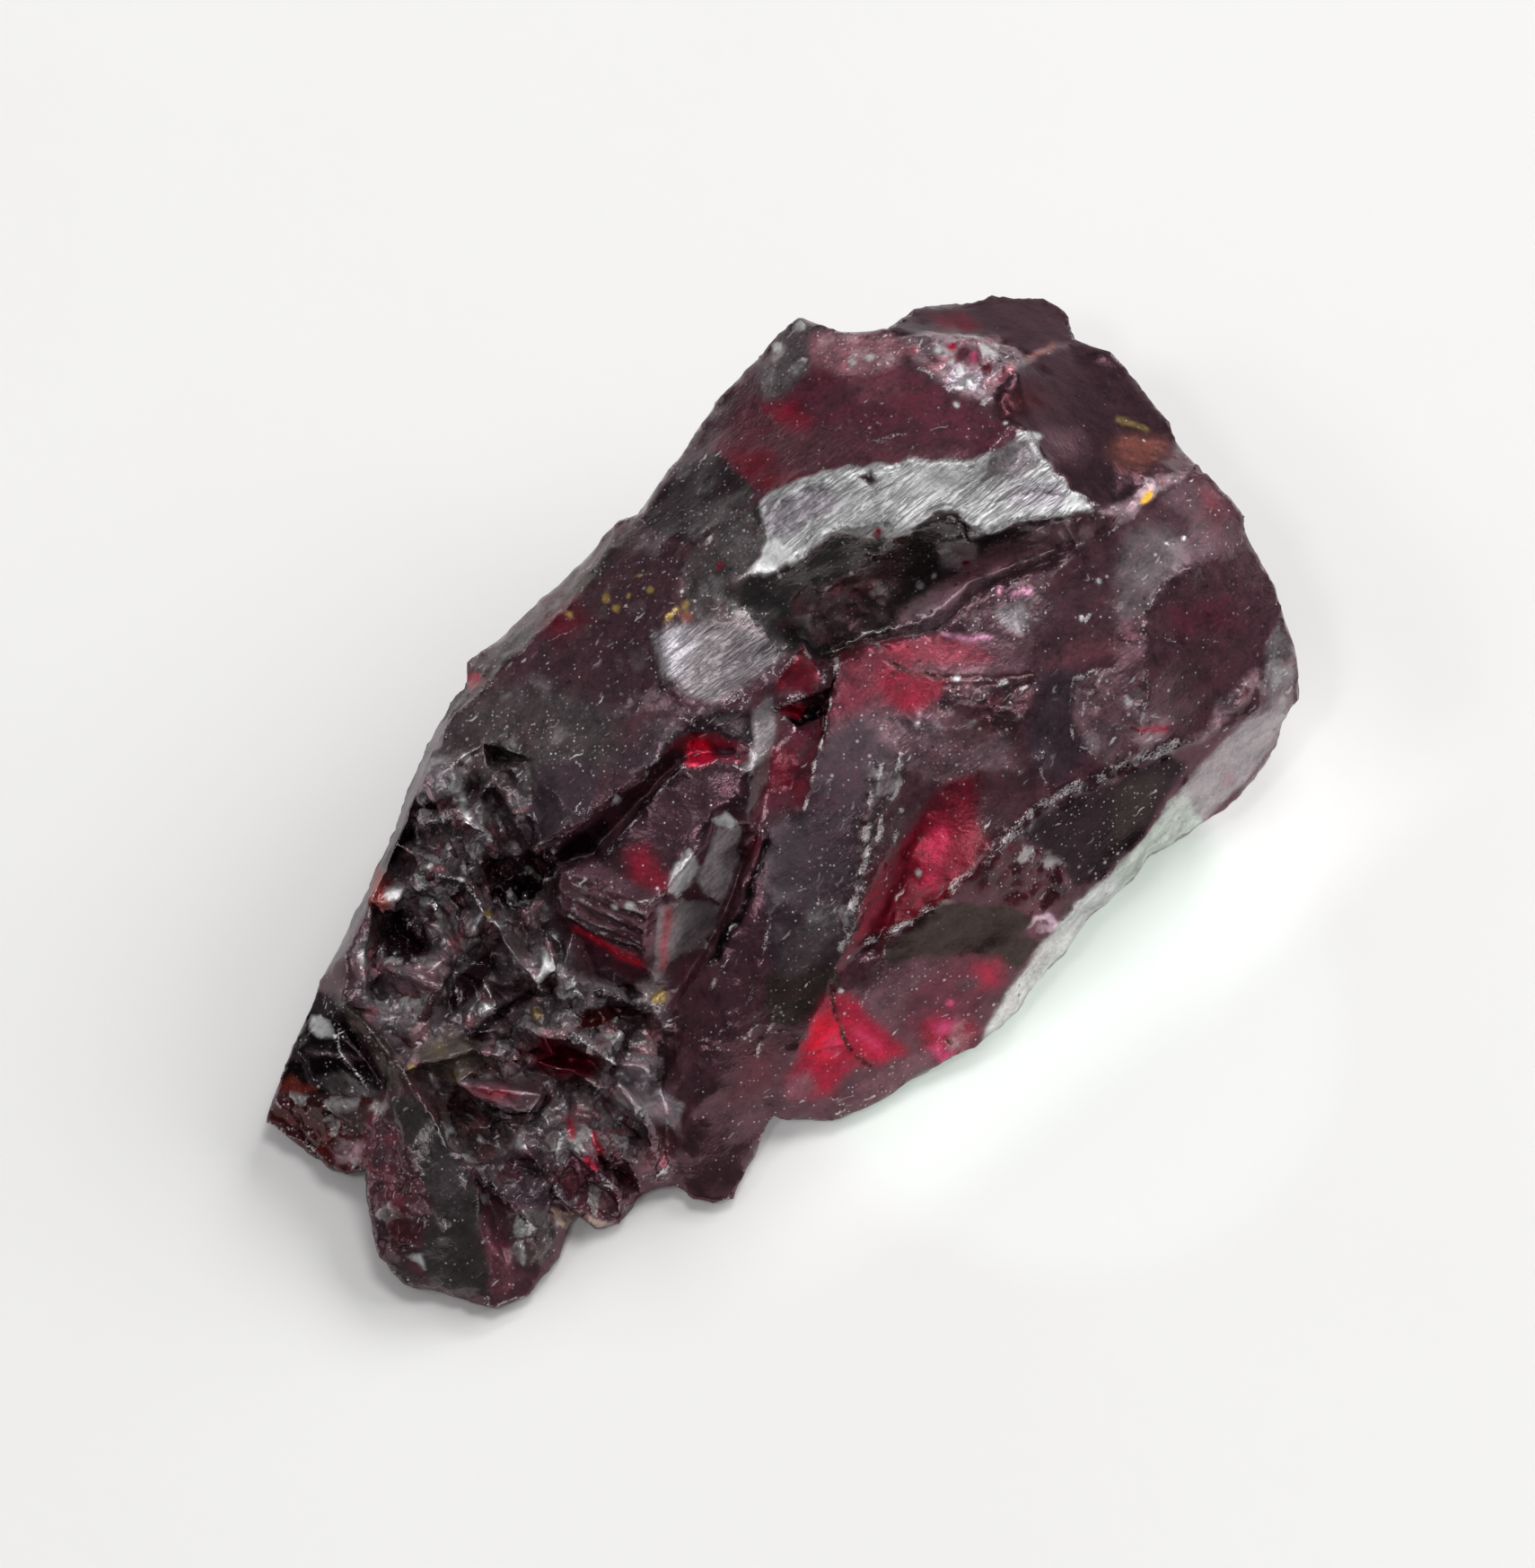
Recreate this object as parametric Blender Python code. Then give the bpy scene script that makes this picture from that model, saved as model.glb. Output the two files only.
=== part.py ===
"""A rough painite: one dark red crystal fragment broken out of its rock, lying on a flat cleavage.

Run with: blender --background --python part.py
Metres, +Z up. The stone rests on its base at z = 0, its length along X, the origin under its middle.

The upper side is a net of ridges. Each fracture face is stretched between its ridges like a skin, and
sags a little, as a shell-like (conchoidal) break does. The hidden side is cut by flat cleavages.
"""

import math

import bmesh
import bpy
from mathutils import Matrix, Vector, noise
from mathutils.bvhtree import BVHTree
from mathutils.geometry import delaunay_2d_cdt

MM = 0.001

# ---------------------------------------------------------------------------
# Driving dimensions, in millimetres and degrees
# ---------------------------------------------------------------------------
SIGHT_ELEVATION = 65.0  # the ridges are surveyed along a line of sight this steep
LENGTHWAYS = -50.0  # turn about Z that brings the stone's length along X
RIM_NICK_SPACING = 0.42  # between the nicks along the rim
RIM_NICK = 0.16  # how far a nick cuts in, or a nib stands out
FILL_SPACING = 0.46  # between the points that fill a smooth fracture face
RUBBLE_SPACING = 0.28  # between those that fill the broken end
RIDGE_CLEARANCE = 0.55  # share of the spacing that fill points keep from a ridge
RUBBLE_LUMP = 0.95  # across one broken lump
RUBBLE_HEIGHT = 0.70  # from the lumps' hollows to their tops
SAG_PER_MM = 0.020  # how fast an ordinary face hollows, away from its ridges
STRETCHES = 160  # passes that draw a face smooth between its ridges
BODY_DEPTH = 26.0  # how far the sides run down before the cleavages cut them

# The rim as sighted, clockwise from the peak: across, up the sight, and height over the base.
RIM = [
    (0.66, 10.42, 7.8), (1.66, 10.06, 8.2), (2.70, 10.14, 8.3), (3.26, 10.56, 6.6), (4.10, 10.74, 6.3),
    (5.06, 10.90, 6.0), (6.20, 10.86, 5.8), (6.74, 10.42, 6.0), (6.86, 9.90, 6.6), (7.62, 9.62, 6.8),
    (8.22, 8.98, 6.8), (8.94, 8.06, 6.9), (9.10, 7.62, 7.0), (9.80, 6.86, 7.3), (10.34, 6.34, 7.2),
    (10.66, 5.56, 6.8), (11.14, 4.66, 6.4), (11.54, 3.62, 5.9), (11.82, 2.70, 5.2), (11.86, 1.90, 4.2),
    (11.50, 1.42, 3.4), (11.40, 0.86, 2.6), (10.94, 0.10, 2.0), (10.14, -0.60, 1.8), (9.46, -1.04, 1.8),
    (8.54, -1.60, 2.0), (8.20, -2.10, 1.8), (6.90, -3.34, 1.6), (5.90, -4.50, 1.3), (5.14, -5.44, 1.0),
    (4.60, -5.90, 0.9), (3.70, -6.34, 0.7), (2.60, -7.04, 0.6), (1.60, -7.50, 0.6), (0.50, -7.50, 0.8),
    (0.10, -7.40, 1.0), (-0.30, -8.34, 0.6), (-0.80, -9.24, 0.4), (-1.20, -9.34, 0.4), (-2.06, -8.94, 0.5),
    (-2.80, -9.14, 0.5), (-3.30, -9.78, 0.4), (-3.80, -9.94, 0.4), (-4.30, -9.58, 0.5), (-4.66, -10.54, 0.4),
    (-5.30, -11.38, 0.4), (-6.10, -11.68, 0.5), (-7.10, -11.34, 0.5), (-8.10, -11.18, 0.6),
    (-8.66, -10.50, 0.9), (-8.86, -9.54, 1.2), (-8.90, -8.60, 1.5), (-9.38, -8.70, 0.8), (-10.50, -8.04, 0.6),
    (-11.18, -7.54, 0.7), (-11.04, -7.04, 1.2), (-10.60, -5.90, 1.8), (-10.00, -4.44, 2.4),
    (-9.60, -3.74, 2.6), (-9.06, -2.60, 2.9), (-8.46, -1.34, 3.1), (-8.10, -0.34, 3.3), (-7.70, 0.70, 3.5),
    (-7.10, 1.76, 3.7), (-6.66, 2.30, 4.0), (-6.70, 2.70, 4.2), (-5.90, 3.30, 4.4), (-5.30, 3.86, 4.7),
    (-4.66, 4.42, 5.0), (-4.00, 5.06, 5.4), (-3.30, 5.86, 6.0), (-2.86, 6.00, 6.3), (-2.46, 6.66, 6.3),
    (-1.70, 7.70, 6.4), (-1.10, 8.56, 6.6), (-0.46, 9.26, 6.9), (0.14, 9.96, 7.4),
]

# Ridges and valley lines, in the same measure. Lines that meet repeat the point where they meet.
RIDGES = {
    "crest": [(2.70, 10.14, 8.3), (3.60, 9.98, 8.6), (4.40, 9.86, 8.8), (5.10, 9.56, 9.0), (5.60, 9.10, 9.1),
              (5.20, 8.50, 9.4), (5.72, 7.90, 9.6), (6.08, 7.32, 9.4), (6.48, 6.82, 9.2), (6.94, 6.46, 9.0),
              (7.22, 6.16, 8.9), (7.70, 6.00, 8.5), (7.92, 6.06, 8.2)],
    "crest_crumble": [(-0.46, 9.26, 6.9), (0.30, 8.96, 7.8), (1.00, 8.82, 8.3), (1.90, 9.10, 8.7),
                      (3.00, 9.30, 8.9), (3.70, 9.06, 9.1), (4.40, 8.62, 9.3), (5.20, 8.50, 9.4)],
    "lobe_foot": [(2.70, 10.14, 8.3), (3.50, 10.24, 7.3), (4.40, 10.12, 7.3), (5.10, 9.90, 7.4),
                  (5.90, 9.46, 7.9), (6.30, 9.62, 7.5), (6.86, 9.90, 6.6)],
    "lobe_notch": [(5.60, 9.10, 9.1), (5.90, 9.46, 7.9)],
    "silk_top": [(-0.76, 4.58, 8.0), (-0.46, 5.46, 8.2), (-0.12, 6.18, 8.5), (0.62, 6.64, 8.9),
                 (1.66, 6.92, 9.3), (2.92, 7.10, 9.6), (3.78, 7.16, 9.7), (4.64, 7.10, 9.75),
                 (4.98, 7.38, 9.7), (5.32, 7.84, 9.65), (5.72, 7.90, 9.6)],
    "silk_edge": [(-0.76, 4.58, 8.0), (0.34, 4.74, 8.2), (0.80, 4.98, 8.4), (1.30, 5.54, 8.7),
                  (1.76, 5.66, 8.8), (2.58, 5.86, 9.0), (2.92, 5.50, 8.9), (3.96, 5.92, 9.1),
                  (4.92, 5.58, 9.0), (5.78, 5.90, 9.0), (6.78, 5.94, 8.9), (7.22, 6.16, 8.9)],
    "dull_facet_top": [(-1.70, 7.70, 6.4), (-1.10, 7.06, 7.4), (-0.20, 6.50, 8.3), (-0.12, 6.18, 8.5)],
    "dull_facet_foot": [(-2.86, 6.00, 6.3), (-2.34, 5.30, 7.2), (-1.88, 5.26, 7.6), (-1.30, 5.50, 7.9),
                        (-0.70, 5.90, 8.2), (-0.12, 6.18, 8.5)],
    "scar_left": [(-1.88, 5.26, 7.6), (-1.96, 4.80, 7.5), (-1.80, 4.16, 7.5), (-1.56, 3.68, 7.6),
                  (-0.90, 3.52, 7.6), (-0.04, 3.34, 7.5), (0.26, 2.88, 7.2), (0.42, 2.64, 7.3)],
    "scar_foot": [(0.26, 2.88, 7.2), (0.76, 3.28, 6.7), (1.16, 2.86, 6.3), (1.55, 2.96, 6.2),
                  (2.20, 3.30, 6.3), (3.36, 3.54, 6.5), (3.92, 3.86, 6.7), (4.46, 4.46, 7.0),
                  (5.48, 4.86, 7.3), (6.36, 5.18, 7.8), (6.92, 5.32, 8.3)],
    "lip": [(7.92, 6.06, 8.2), (8.30, 6.72, 8.1), (8.76, 6.96, 7.9), (9.80, 6.86, 7.3)],
    "scar_end": [(6.78, 5.94, 8.9), (6.92, 5.32, 8.3)],
    "plate_edge": [(-1.46, 1.58, 7.1), (-1.00, 1.76, 7.1), (-0.40, 1.94, 7.1), (0.00, 2.22, 7.2),
                   (0.42, 2.64, 7.3), (0.76, 3.02, 7.4), (1.14, 2.50, 7.0), (1.34, 2.70, 7.1),
                   (1.58, 2.66, 7.3), (2.26, 3.04, 7.6), (3.40, 3.26, 7.8), (4.02, 3.58, 7.9),
                   (4.56, 4.18, 8.0), (5.54, 4.56, 8.0), (6.46, 4.88, 8.2), (6.92, 5.32, 8.3),
                   (7.62, 5.62, 8.3), (7.92, 6.06, 8.2), (8.70, 6.50, 8.0), (9.80, 6.86, 7.3)],
    "scoop_rim": [(8.46, 2.26, 7.0), (8.46, 3.86, 7.7), (8.70, 4.28, 7.8), (9.08, 4.58, 7.8),
                  (9.32, 4.74, 7.7), (10.06, 5.06, 7.3), (10.66, 5.56, 6.8)],
    "scoop_side": [(8.46, 2.26, 7.0), (8.40, 1.46, 6.5), (7.90, 0.40, 5.7)],
    "fault": [(5.54, 4.56, 8.0), (6.20, 3.66, 7.8), (6.16, 2.32, 7.3), (5.90, 1.46, 7.0),
              (6.10, 0.46, 6.5), (6.46, -0.14, 5.9)],
    "fault_step": [(3.20, 1.30, 7.2), (4.30, 1.50, 7.3), (5.20, 2.20, 7.4), (6.16, 2.32, 7.3)],
    "plate_flake": [(3.40, 3.26, 7.8), (3.90, 2.50, 7.6), (5.20, 2.20, 7.4)],
    "corner": [(11.54, 3.62, 5.9), (11.14, 2.76, 5.7), (10.94, 1.66, 5.2), (10.16, 1.16, 5.0)],
    "corner_foot": [(11.50, 1.42, 3.4), (10.94, 1.66, 5.2)],
    "shoulder": [(10.16, 1.16, 5.0), (9.50, 0.86, 5.2), (8.70, 0.62, 5.4), (7.90, 0.40, 5.7),
                 (6.46, -0.14, 5.9), (5.84, -0.60, 5.9), (5.38, -1.14, 5.8), (4.92, -1.74, 5.6),
                 (4.24, -2.20, 5.3), (3.56, -2.90, 4.9), (2.78, -3.28, 4.6), (2.48, -3.88, 4.2),
                 (2.02, -4.80, 3.6)],
    "side_edge": [(10.16, 1.16, 5.0), (9.40, 0.10, 4.4), (8.78, -0.68, 4.0), (8.32, -1.28, 3.8),
                  (7.72, -1.90, 3.6), (6.80, -2.82, 3.2), (6.18, -3.50, 2.8), (5.50, -4.34, 2.2),
                  (4.90, -5.24, 1.5), (4.60, -5.90, 0.9)],
    "dish_top": [(4.24, -2.20, 5.3), (4.80, -2.50, 4.9), (5.40, -2.60, 4.4), (5.86, -3.14, 3.6),
                 (6.18, -3.50, 2.8)],
    "dish_foot": [(2.48, -3.88, 4.2), (2.90, -4.54, 3.4), (4.10, -3.94, 3.5), (5.30, -3.70, 3.3),
                  (5.86, -3.14, 3.6)],
    "slab_left": [(1.58, 2.66, 7.3), (1.12, 0.82, 6.9), (0.80, -0.58, 6.4)],
    "slab_right": [(2.94, 0.86, 7.0), (2.64, -0.30, 6.6), (2.46, -1.64, 5.9), (2.18, -2.40, 5.5),
                   (1.76, -3.46, 4.9), (1.40, -4.34, 4.3), (1.00, -5.34, 3.5), (0.64, -5.96, 2.9),
                   (0.26, -7.10, 1.6), (0.10, -7.40, 1.0)],
    "slab_mid": [(0.10, -3.00, 5.4), (-0.12, -3.80, 4.9), (-0.42, -4.88, 4.2), (-1.20, -5.72, 3.5),
                 (-1.58, -7.26, 2.2), (-2.18, -8.54, 0.9), (-2.06, -8.94, 0.5)],
    "slab_foot": [(-0.20, -1.04, 6.0), (-0.40, -1.74, 5.7), (-0.60, -2.54, 5.3), (-1.10, -3.74, 4.6),
                  (-1.58, -4.30, 4.2), (-1.90, -5.54, 3.2), (-2.30, -7.14, 1.9), (-2.18, -8.54, 0.9)],
    "cleft": [(-0.40, -0.88, 6.2), (-0.56, -1.70, 4.9), (-0.80, -2.52, 4.6), (-1.30, -3.56, 4.0),
              (-1.75, -4.30, 3.6)],
    "strip_foot": [(0.54, -0.14, 6.2), (-0.06, -0.18, 6.1), (-0.20, -1.04, 6.0)],
    "strip_end": [(0.80, -0.58, 6.4), (0.54, -0.14, 6.2)],
    "tip_foot": [(0.06, 2.12, 7.1), (0.54, 1.76, 6.9), (1.40, 2.12, 6.9)],
    "tip_gap": [(0.18, 1.70, 6.8), (0.64, 1.52, 6.3), (1.12, 1.58, 6.2), (1.36, 1.92, 6.4)],
    "lilac_right": [(0.18, 1.70, 6.8), (0.06, 0.82, 6.6), (-0.06, -0.18, 6.1)],
    "lilac_left": [(-0.40, 1.94, 7.1), (-0.52, 1.30, 6.9), (-0.40, 0.70, 6.8), (-0.34, 0.26, 6.8),
                   (-0.46, -0.06, 6.7), (-0.40, -0.88, 6.2)],
    "window_top": [(-1.94, 1.12, 6.9), (-1.60, 1.22, 6.9), (-1.10, 1.22, 6.9), (-0.52, 1.30, 6.9)],
    "window_foot": [(-2.00, 0.52, 6.1), (-1.80, 0.64, 6.2), (-1.30, 0.68, 6.3), (-0.40, 0.70, 6.8)],
    "ledge": [(-1.46, 1.58, 7.1), (-1.94, 1.12, 6.9), (-2.58, 0.42, 6.7), (-3.16, -0.06, 6.5),
              (-3.64, -0.40, 6.3), (-4.34, -1.00, 6.0), (-5.10, -1.34, 5.7)],
    "ledge_foot": [(-2.00, 0.52, 6.1), (-2.92, -0.50, 5.7), (-3.50, -1.12, 5.3), (-3.86, -1.58, 5.0),
                   (-4.60, -1.76, 4.9), (-5.10, -1.34, 5.7)],
    "block_back": [(-1.82, 0.46, 6.7), (-1.34, 0.50, 6.8), (-0.34, 0.26, 6.8)],
    "block_left": [(-1.82, 0.46, 6.7), (-2.76, -0.56, 6.2), (-3.34, -1.22, 5.8), (-3.70, -1.72, 5.6),
                   (-4.52, -1.98, 5.4)],
    "block_front": [(-4.52, -1.98, 5.4), (-4.04, -2.16, 5.5), (-2.70, -2.74, 5.8), (-2.34, -2.46, 5.9),
                    (-1.58, -1.46, 6.2), (-1.22, -0.64, 6.5), (-0.64, -0.30, 6.6), (-0.46, -0.06, 6.7)],
    "block_nose": [(-2.70, -2.74, 5.8), (-2.76, -3.76, 4.3), (-2.58, -4.22, 3.8)],
    "block_foot": [(-4.52, -1.98, 5.4), (-4.70, -2.76, 4.8), (-4.34, -3.34, 4.3), (-3.60, -3.60, 4.3),
                   (-2.76, -3.76, 4.3)],
    "block_sliver": [(-4.34, -3.34, 4.3), (-4.04, -3.74, 3.9), (-3.40, -4.26, 3.6), (-2.58, -4.22, 3.8),
                     (-1.75, -4.30, 3.6)],
    "left_shoulder": [(-3.30, 5.86, 6.0), (-3.70, 4.86, 6.3), (-4.30, 4.02, 6.2), (-4.98, 3.44, 6.0),
                      (-5.56, 2.92, 5.8), (-6.20, 2.28, 5.6), (-6.74, 1.74, 5.4), (-7.20, 1.22, 5.2),
                      (-7.50, 0.56, 5.0), (-7.84, -0.24, 4.8), (-8.24, -1.34, 4.5), (-8.80, -2.60, 4.1),
                      (-9.36, -3.74, 3.7), (-9.42, -4.90, 3.4)],
    "facet_edge": [(-1.96, 4.80, 7.5), (-2.40, 3.40, 7.4), (-2.20, 2.40, 7.3), (-1.46, 1.58, 7.1)],
    "smooth_end": [(-7.50, 0.56, 5.0), (-6.30, 0.90, 5.6), (-5.10, 0.50, 6.0), (-4.70, -0.20, 6.1),
                   (-4.34, -1.00, 6.0)],
    "blade": [(-10.00, -4.44, 2.4), (-9.42, -4.90, 3.4), (-8.08, -6.42, 2.9), (-7.46, -7.40, 2.9)],
    "blade_foot": [(-9.60, -5.34, 2.6), (-8.60, -6.70, 2.3), (-8.26, -6.94, 2.5)],
    "wedge_break": [(-11.04, -7.04, 1.2), (-9.70, -6.94, 2.0), (-8.62, -7.16, 2.1)],
    "wedge_side": [(-8.26, -6.94, 2.5), (-8.62, -7.16, 2.1), (-8.90, -8.60, 1.5)],
    "prism_ridge": [(-8.26, -6.94, 2.5), (-7.46, -7.40, 2.9), (-7.10, -8.12, 2.8), (-6.56, -8.56, 2.6),
                    (-6.38, -9.98, 1.7), (-6.10, -11.68, 0.5)],
    "prism_left": [(-8.26, -6.94, 2.5), (-8.00, -8.34, 2.4), (-8.20, -10.14, 1.4), (-8.10, -11.18, 0.6)],
    "prism_right": [(-6.56, -8.56, 2.6), (-5.60, -9.44, 1.8), (-5.10, -10.14, 1.2), (-5.30, -11.38, 0.4)],
    "toe_left": [(-5.30, -8.30, 2.2), (-4.80, -8.90, 1.7), (-4.30, -9.58, 0.5)],
    "toe_right": [(-4.30, -9.50, 1.2), (-4.08, -9.70, 1.1), (-3.80, -9.94, 0.4)],
    "toe_spine": [(-4.60, -7.70, 2.8), (-3.90, -8.50, 2.3), (-3.30, -9.10, 1.3), (-3.30, -9.78, 0.4)],
    "valley": [(3.40, 0.30, 6.5), (3.40, -1.10, 5.6), (3.00, -2.40, 4.9), (2.30, -3.70, 4.1)],
    "wedge_step": [(-10.50, -5.95, 2.3), (-9.50, -6.02, 2.7), (-9.16, -6.50, 2.6)],
    "wedge_bevel": [(-10.60, -5.90, 1.8), (-10.10, -6.60, 2.0), (-9.70, -6.94, 2.0)],
    "prism_nape": [(-8.26, -6.94, 2.5), (-7.90, -6.86, 2.8), (-7.46, -7.40, 2.9)],
    "prism_chamfer": [(-8.20, -10.14, 1.4), (-7.20, -9.96, 1.8), (-6.38, -9.98, 1.7)],
    "prism_flank": [(-6.56, -8.56, 2.6), (-6.20, -9.20, 1.6), (-5.90, -10.40, 0.9)],
    "knob_high": [(-7.64, -0.90, 5.2), (-6.96, -0.70, 5.6), (-6.30, -1.10, 5.5), (-6.00, -1.50, 5.2)],
    "knob_mid": [(-7.50, -2.00, 4.9), (-6.70, -2.20, 5.1), (-6.30, -2.90, 4.9), (-6.60, -3.40, 4.5)],
    "knob_low": [(-8.50, -4.10, 3.9), (-7.90, -4.25, 4.2), (-7.30, -4.60, 4.0), (-7.50, -4.90, 3.5)],
    "fin": [(-6.00, -3.20, 4.7), (-5.60, -3.90, 4.6), (-5.00, -4.60, 4.3)],
    "fin_low": [(-4.90, -3.40, 4.7), (-4.74, -4.20, 4.5), (-4.10, -4.70, 4.3)],
    "hump": [(-5.40, -5.40, 4.0), (-4.40, -5.60, 4.2), (-3.40, -6.20, 3.9), (-2.70, -6.40, 3.5)],
    "hump_foot": [(-5.20, -6.20, 3.1), (-4.30, -6.40, 3.1), (-3.60, -6.80, 2.8)],
    "mottle": [(-7.70, -6.20, 3.2), (-6.60, -5.90, 3.6), (-5.90, -6.10, 3.6)],
    "flake": [(-6.90, -6.62, 3.3), (-5.90, -6.80, 3.5), (-5.06, -6.92, 3.4), (-5.30, -7.30, 3.1),
              (-6.00, -7.24, 3.0), (-6.90, -6.62, 3.3)],
    "flake_foot": [(-6.70, -7.06, 2.3), (-5.90, -7.56, 2.2), (-5.10, -7.60, 2.3)],
    "toe_back": [(-3.30, -6.74, 3.5), (-2.80, -7.30, 3.0), (-2.60, -8.10, 2.0), (-2.80, -9.14, 0.5)],
    "pit_high": [(-6.10, -1.90, 4.0), (-5.30, -1.94, 3.9), (-4.96, -2.60, 3.8), (-5.70, -2.74, 3.9),
                 (-6.10, -1.90, 4.0)],
    "pit_left": [(-8.20, -2.96, 3.3), (-7.56, -3.00, 3.3), (-7.66, -3.64, 3.2), (-8.20, -2.96, 3.3)],
    "pit_mid": [(-7.00, -4.10, 3.3), (-6.36, -4.30, 3.3), (-6.00, -5.10, 3.0), (-6.80, -5.40, 2.9),
                (-7.00, -4.10, 3.3)],
    "pit_low": [(-7.20, -7.30, 1.9), (-6.50, -7.50, 1.7), (-5.94, -8.10, 1.5), (-6.34, -8.30, 1.6),
                (-7.20, -7.30, 1.9)],
    "pit_notch": [(-4.70, -2.76, 4.8), (-5.10, -3.10, 3.9), (-4.60, -3.60, 3.8), (-4.34, -3.34, 4.3)],
    "pit_cleft": [(-3.90, -4.60, 3.7), (-3.00, -4.90, 3.4), (-2.30, -5.00, 3.2)],
}

# Faces that hollow more or less than an ordinary one: a place on each, and its own rate of sag.
FACE_SAG = {
    "silky band": (3.4, 6.4, 0.050),
    "deep scar": (2.4, 4.6, 0.070),
    "grey scoop": (8.2, 5.0, 0.060),
    "red valley": (3.6, -0.8, 0.045),
    "dish": (4.2, -3.3, 0.080),
    "lobe": (5.8, 10.3, -0.060),
    "lower slab": (1.0, -3.4, -0.010),
    "wide facet": (-4.4, 2.4, -0.012),
    "silver patch": (-1.2, 2.6, 0.030),
}

# The broken end, as sighted: the outline inside which the surface is rubble.
RUBBLE_OUTLINE = [
    (-7.4, 0.4), (-6.0, 0.6), (-5.2, -0.4), (-5.2, -1.5), (-4.8, -3.0), (-4.2, -4.0), (-2.4, -4.6),
    (-2.2, -7.0), (-3.0, -9.2), (-5.0, -9.0), (-6.4, -8.0), (-7.4, -7.0), (-9.0, -4.8), (-8.4, -2.2),
]

# Flat cleavages that cut the hidden side: which way each faces, how far it leans under, and how far
# outside the rim it stands. 0 degrees faces the sight's right, 90 faces away from the eye.
CLEAVAGES = [
    (18.0, 30.0, 0.05),
    (50.0, 22.0, 0.05),
    (84.0, 34.0, 0.05),
    (112.0, 18.0, 0.05),
    (142.0, 26.0, 0.05),
    (172.0, 38.0, 0.05),
    (205.0, 20.0, 0.05),
    (245.0, 42.0, 0.05),
    (300.0, 46.0, 0.05),
    (338.0, 36.0, 0.05),
]

# Shell-like scars where flakes have sprung off the hidden sides. Each is the ball whose side it
# follows: a point on the stone's middle line, the bearing it is struck from, how far up that blow
# comes from, the ball's radius, and how deep it bites.
FLAKE_SCARS = {
    "back_high": ((3.6, 0.0, 1.4), 80.0, 0.0, 8.0, 0.85),
    "back_low": ((-4.6, 0.0, 1.4), 100.0, -4.0, 9.0, 0.75),
    "back_corner": ((8.6, 1.0, 1.8), 42.0, 0.0, 7.0, 0.90),
    "end_low": ((7.0, -2.0, 1.2), -14.0, 0.0, 6.0, 0.80),
}
SCAR_WAVER = 0.22  # how far a scar strays from a true ball, in millimetres

CRYSTAL_COLOUR = (0.085, 0.010, 0.018, 1.0)
CRYSTAL_ROUGHNESS = 0.28
CRYSTAL_IOR = 1.79


# ---------------------------------------------------------------------------
# The sighted net
# ---------------------------------------------------------------------------
def sighted(x, y, height):
    """The place, in millimetres, of a point sighted at (x, y) that stands this high over the base."""
    steep = math.radians(SIGHT_ELEVATION)
    return Vector((x, (y - height * math.cos(steep)) / math.sin(steep), height))


def inside(point, outline):
    """Whether a sighted point lies within a closed outline."""
    x, y = point
    within = False
    for (ax, ay, *_), (bx, by, *_) in zip(outline, outline[1:] + outline[:1]):
        if (ay > y) != (by > y) and x < ax + (y - ay) * (bx - ax) / (by - ay):
            within = not within
    return within


def clear_of_lines(point, lines, gap):
    """Whether a sighted point is at least this far from every ridge."""
    for start, end in lines:
        along = end - start
        share = min(max((point - start).dot(along) / along.length_squared, 0.0), 1.0)
        if (point - start - along * share).length < gap:
            return False
    return True


def chipped(rim):
    """The rim with a nick or a nib on each of its longer stretches."""
    line = []
    for (ax, ay, a_height), (bx, by, b_height) in zip(rim, rim[1:] + rim[:1]):
        line.append((ax, ay, a_height))
        length = math.hypot(bx - ax, by - ay)
        pieces = int(length / RIM_NICK_SPACING)
        for piece in range(1, pieces):
            share = piece / pieces + 0.12 * noise.noise((ax, ay, piece * 1.7))
            out = RIM_NICK * noise.noise((bx * 2.3, by * 2.3, piece * 2.9))
            line.append(
                (
                    ax + share * (bx - ax) - out * (by - ay) / length,
                    ay + share * (by - ay) + out * (bx - ax) / length,
                    a_height + share * (b_height - a_height),
                )
            )
    return line


def fill_points(lines, rim):
    """A jittered triangular lattice over the rim's inside, closer in the rubble, clear of the ridges."""
    found = []
    for spacing, in_rubble in ((FILL_SPACING, False), (RUBBLE_SPACING, True)):
        rows = int(24.0 / (spacing * math.sqrt(3) / 2))
        for row in range(rows):
            for column in range(int(24.0 / spacing)):
                x = -12.0 + (column + 0.5 * (row % 2)) * spacing
                y = -12.0 + row * spacing * math.sqrt(3) / 2
                x += 0.35 * spacing * noise.noise((x * 3.1, y * 3.1, spacing))
                y += 0.35 * spacing * noise.noise((x * 3.1, y * 3.1, spacing + 7.3))
                point = Vector((x, y))
                if inside(point, RUBBLE_OUTLINE) == in_rubble and inside(point, rim):
                    if clear_of_lines(point, lines, RIDGE_CLEARANCE * spacing):
                        found.append(point)
    return found


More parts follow.
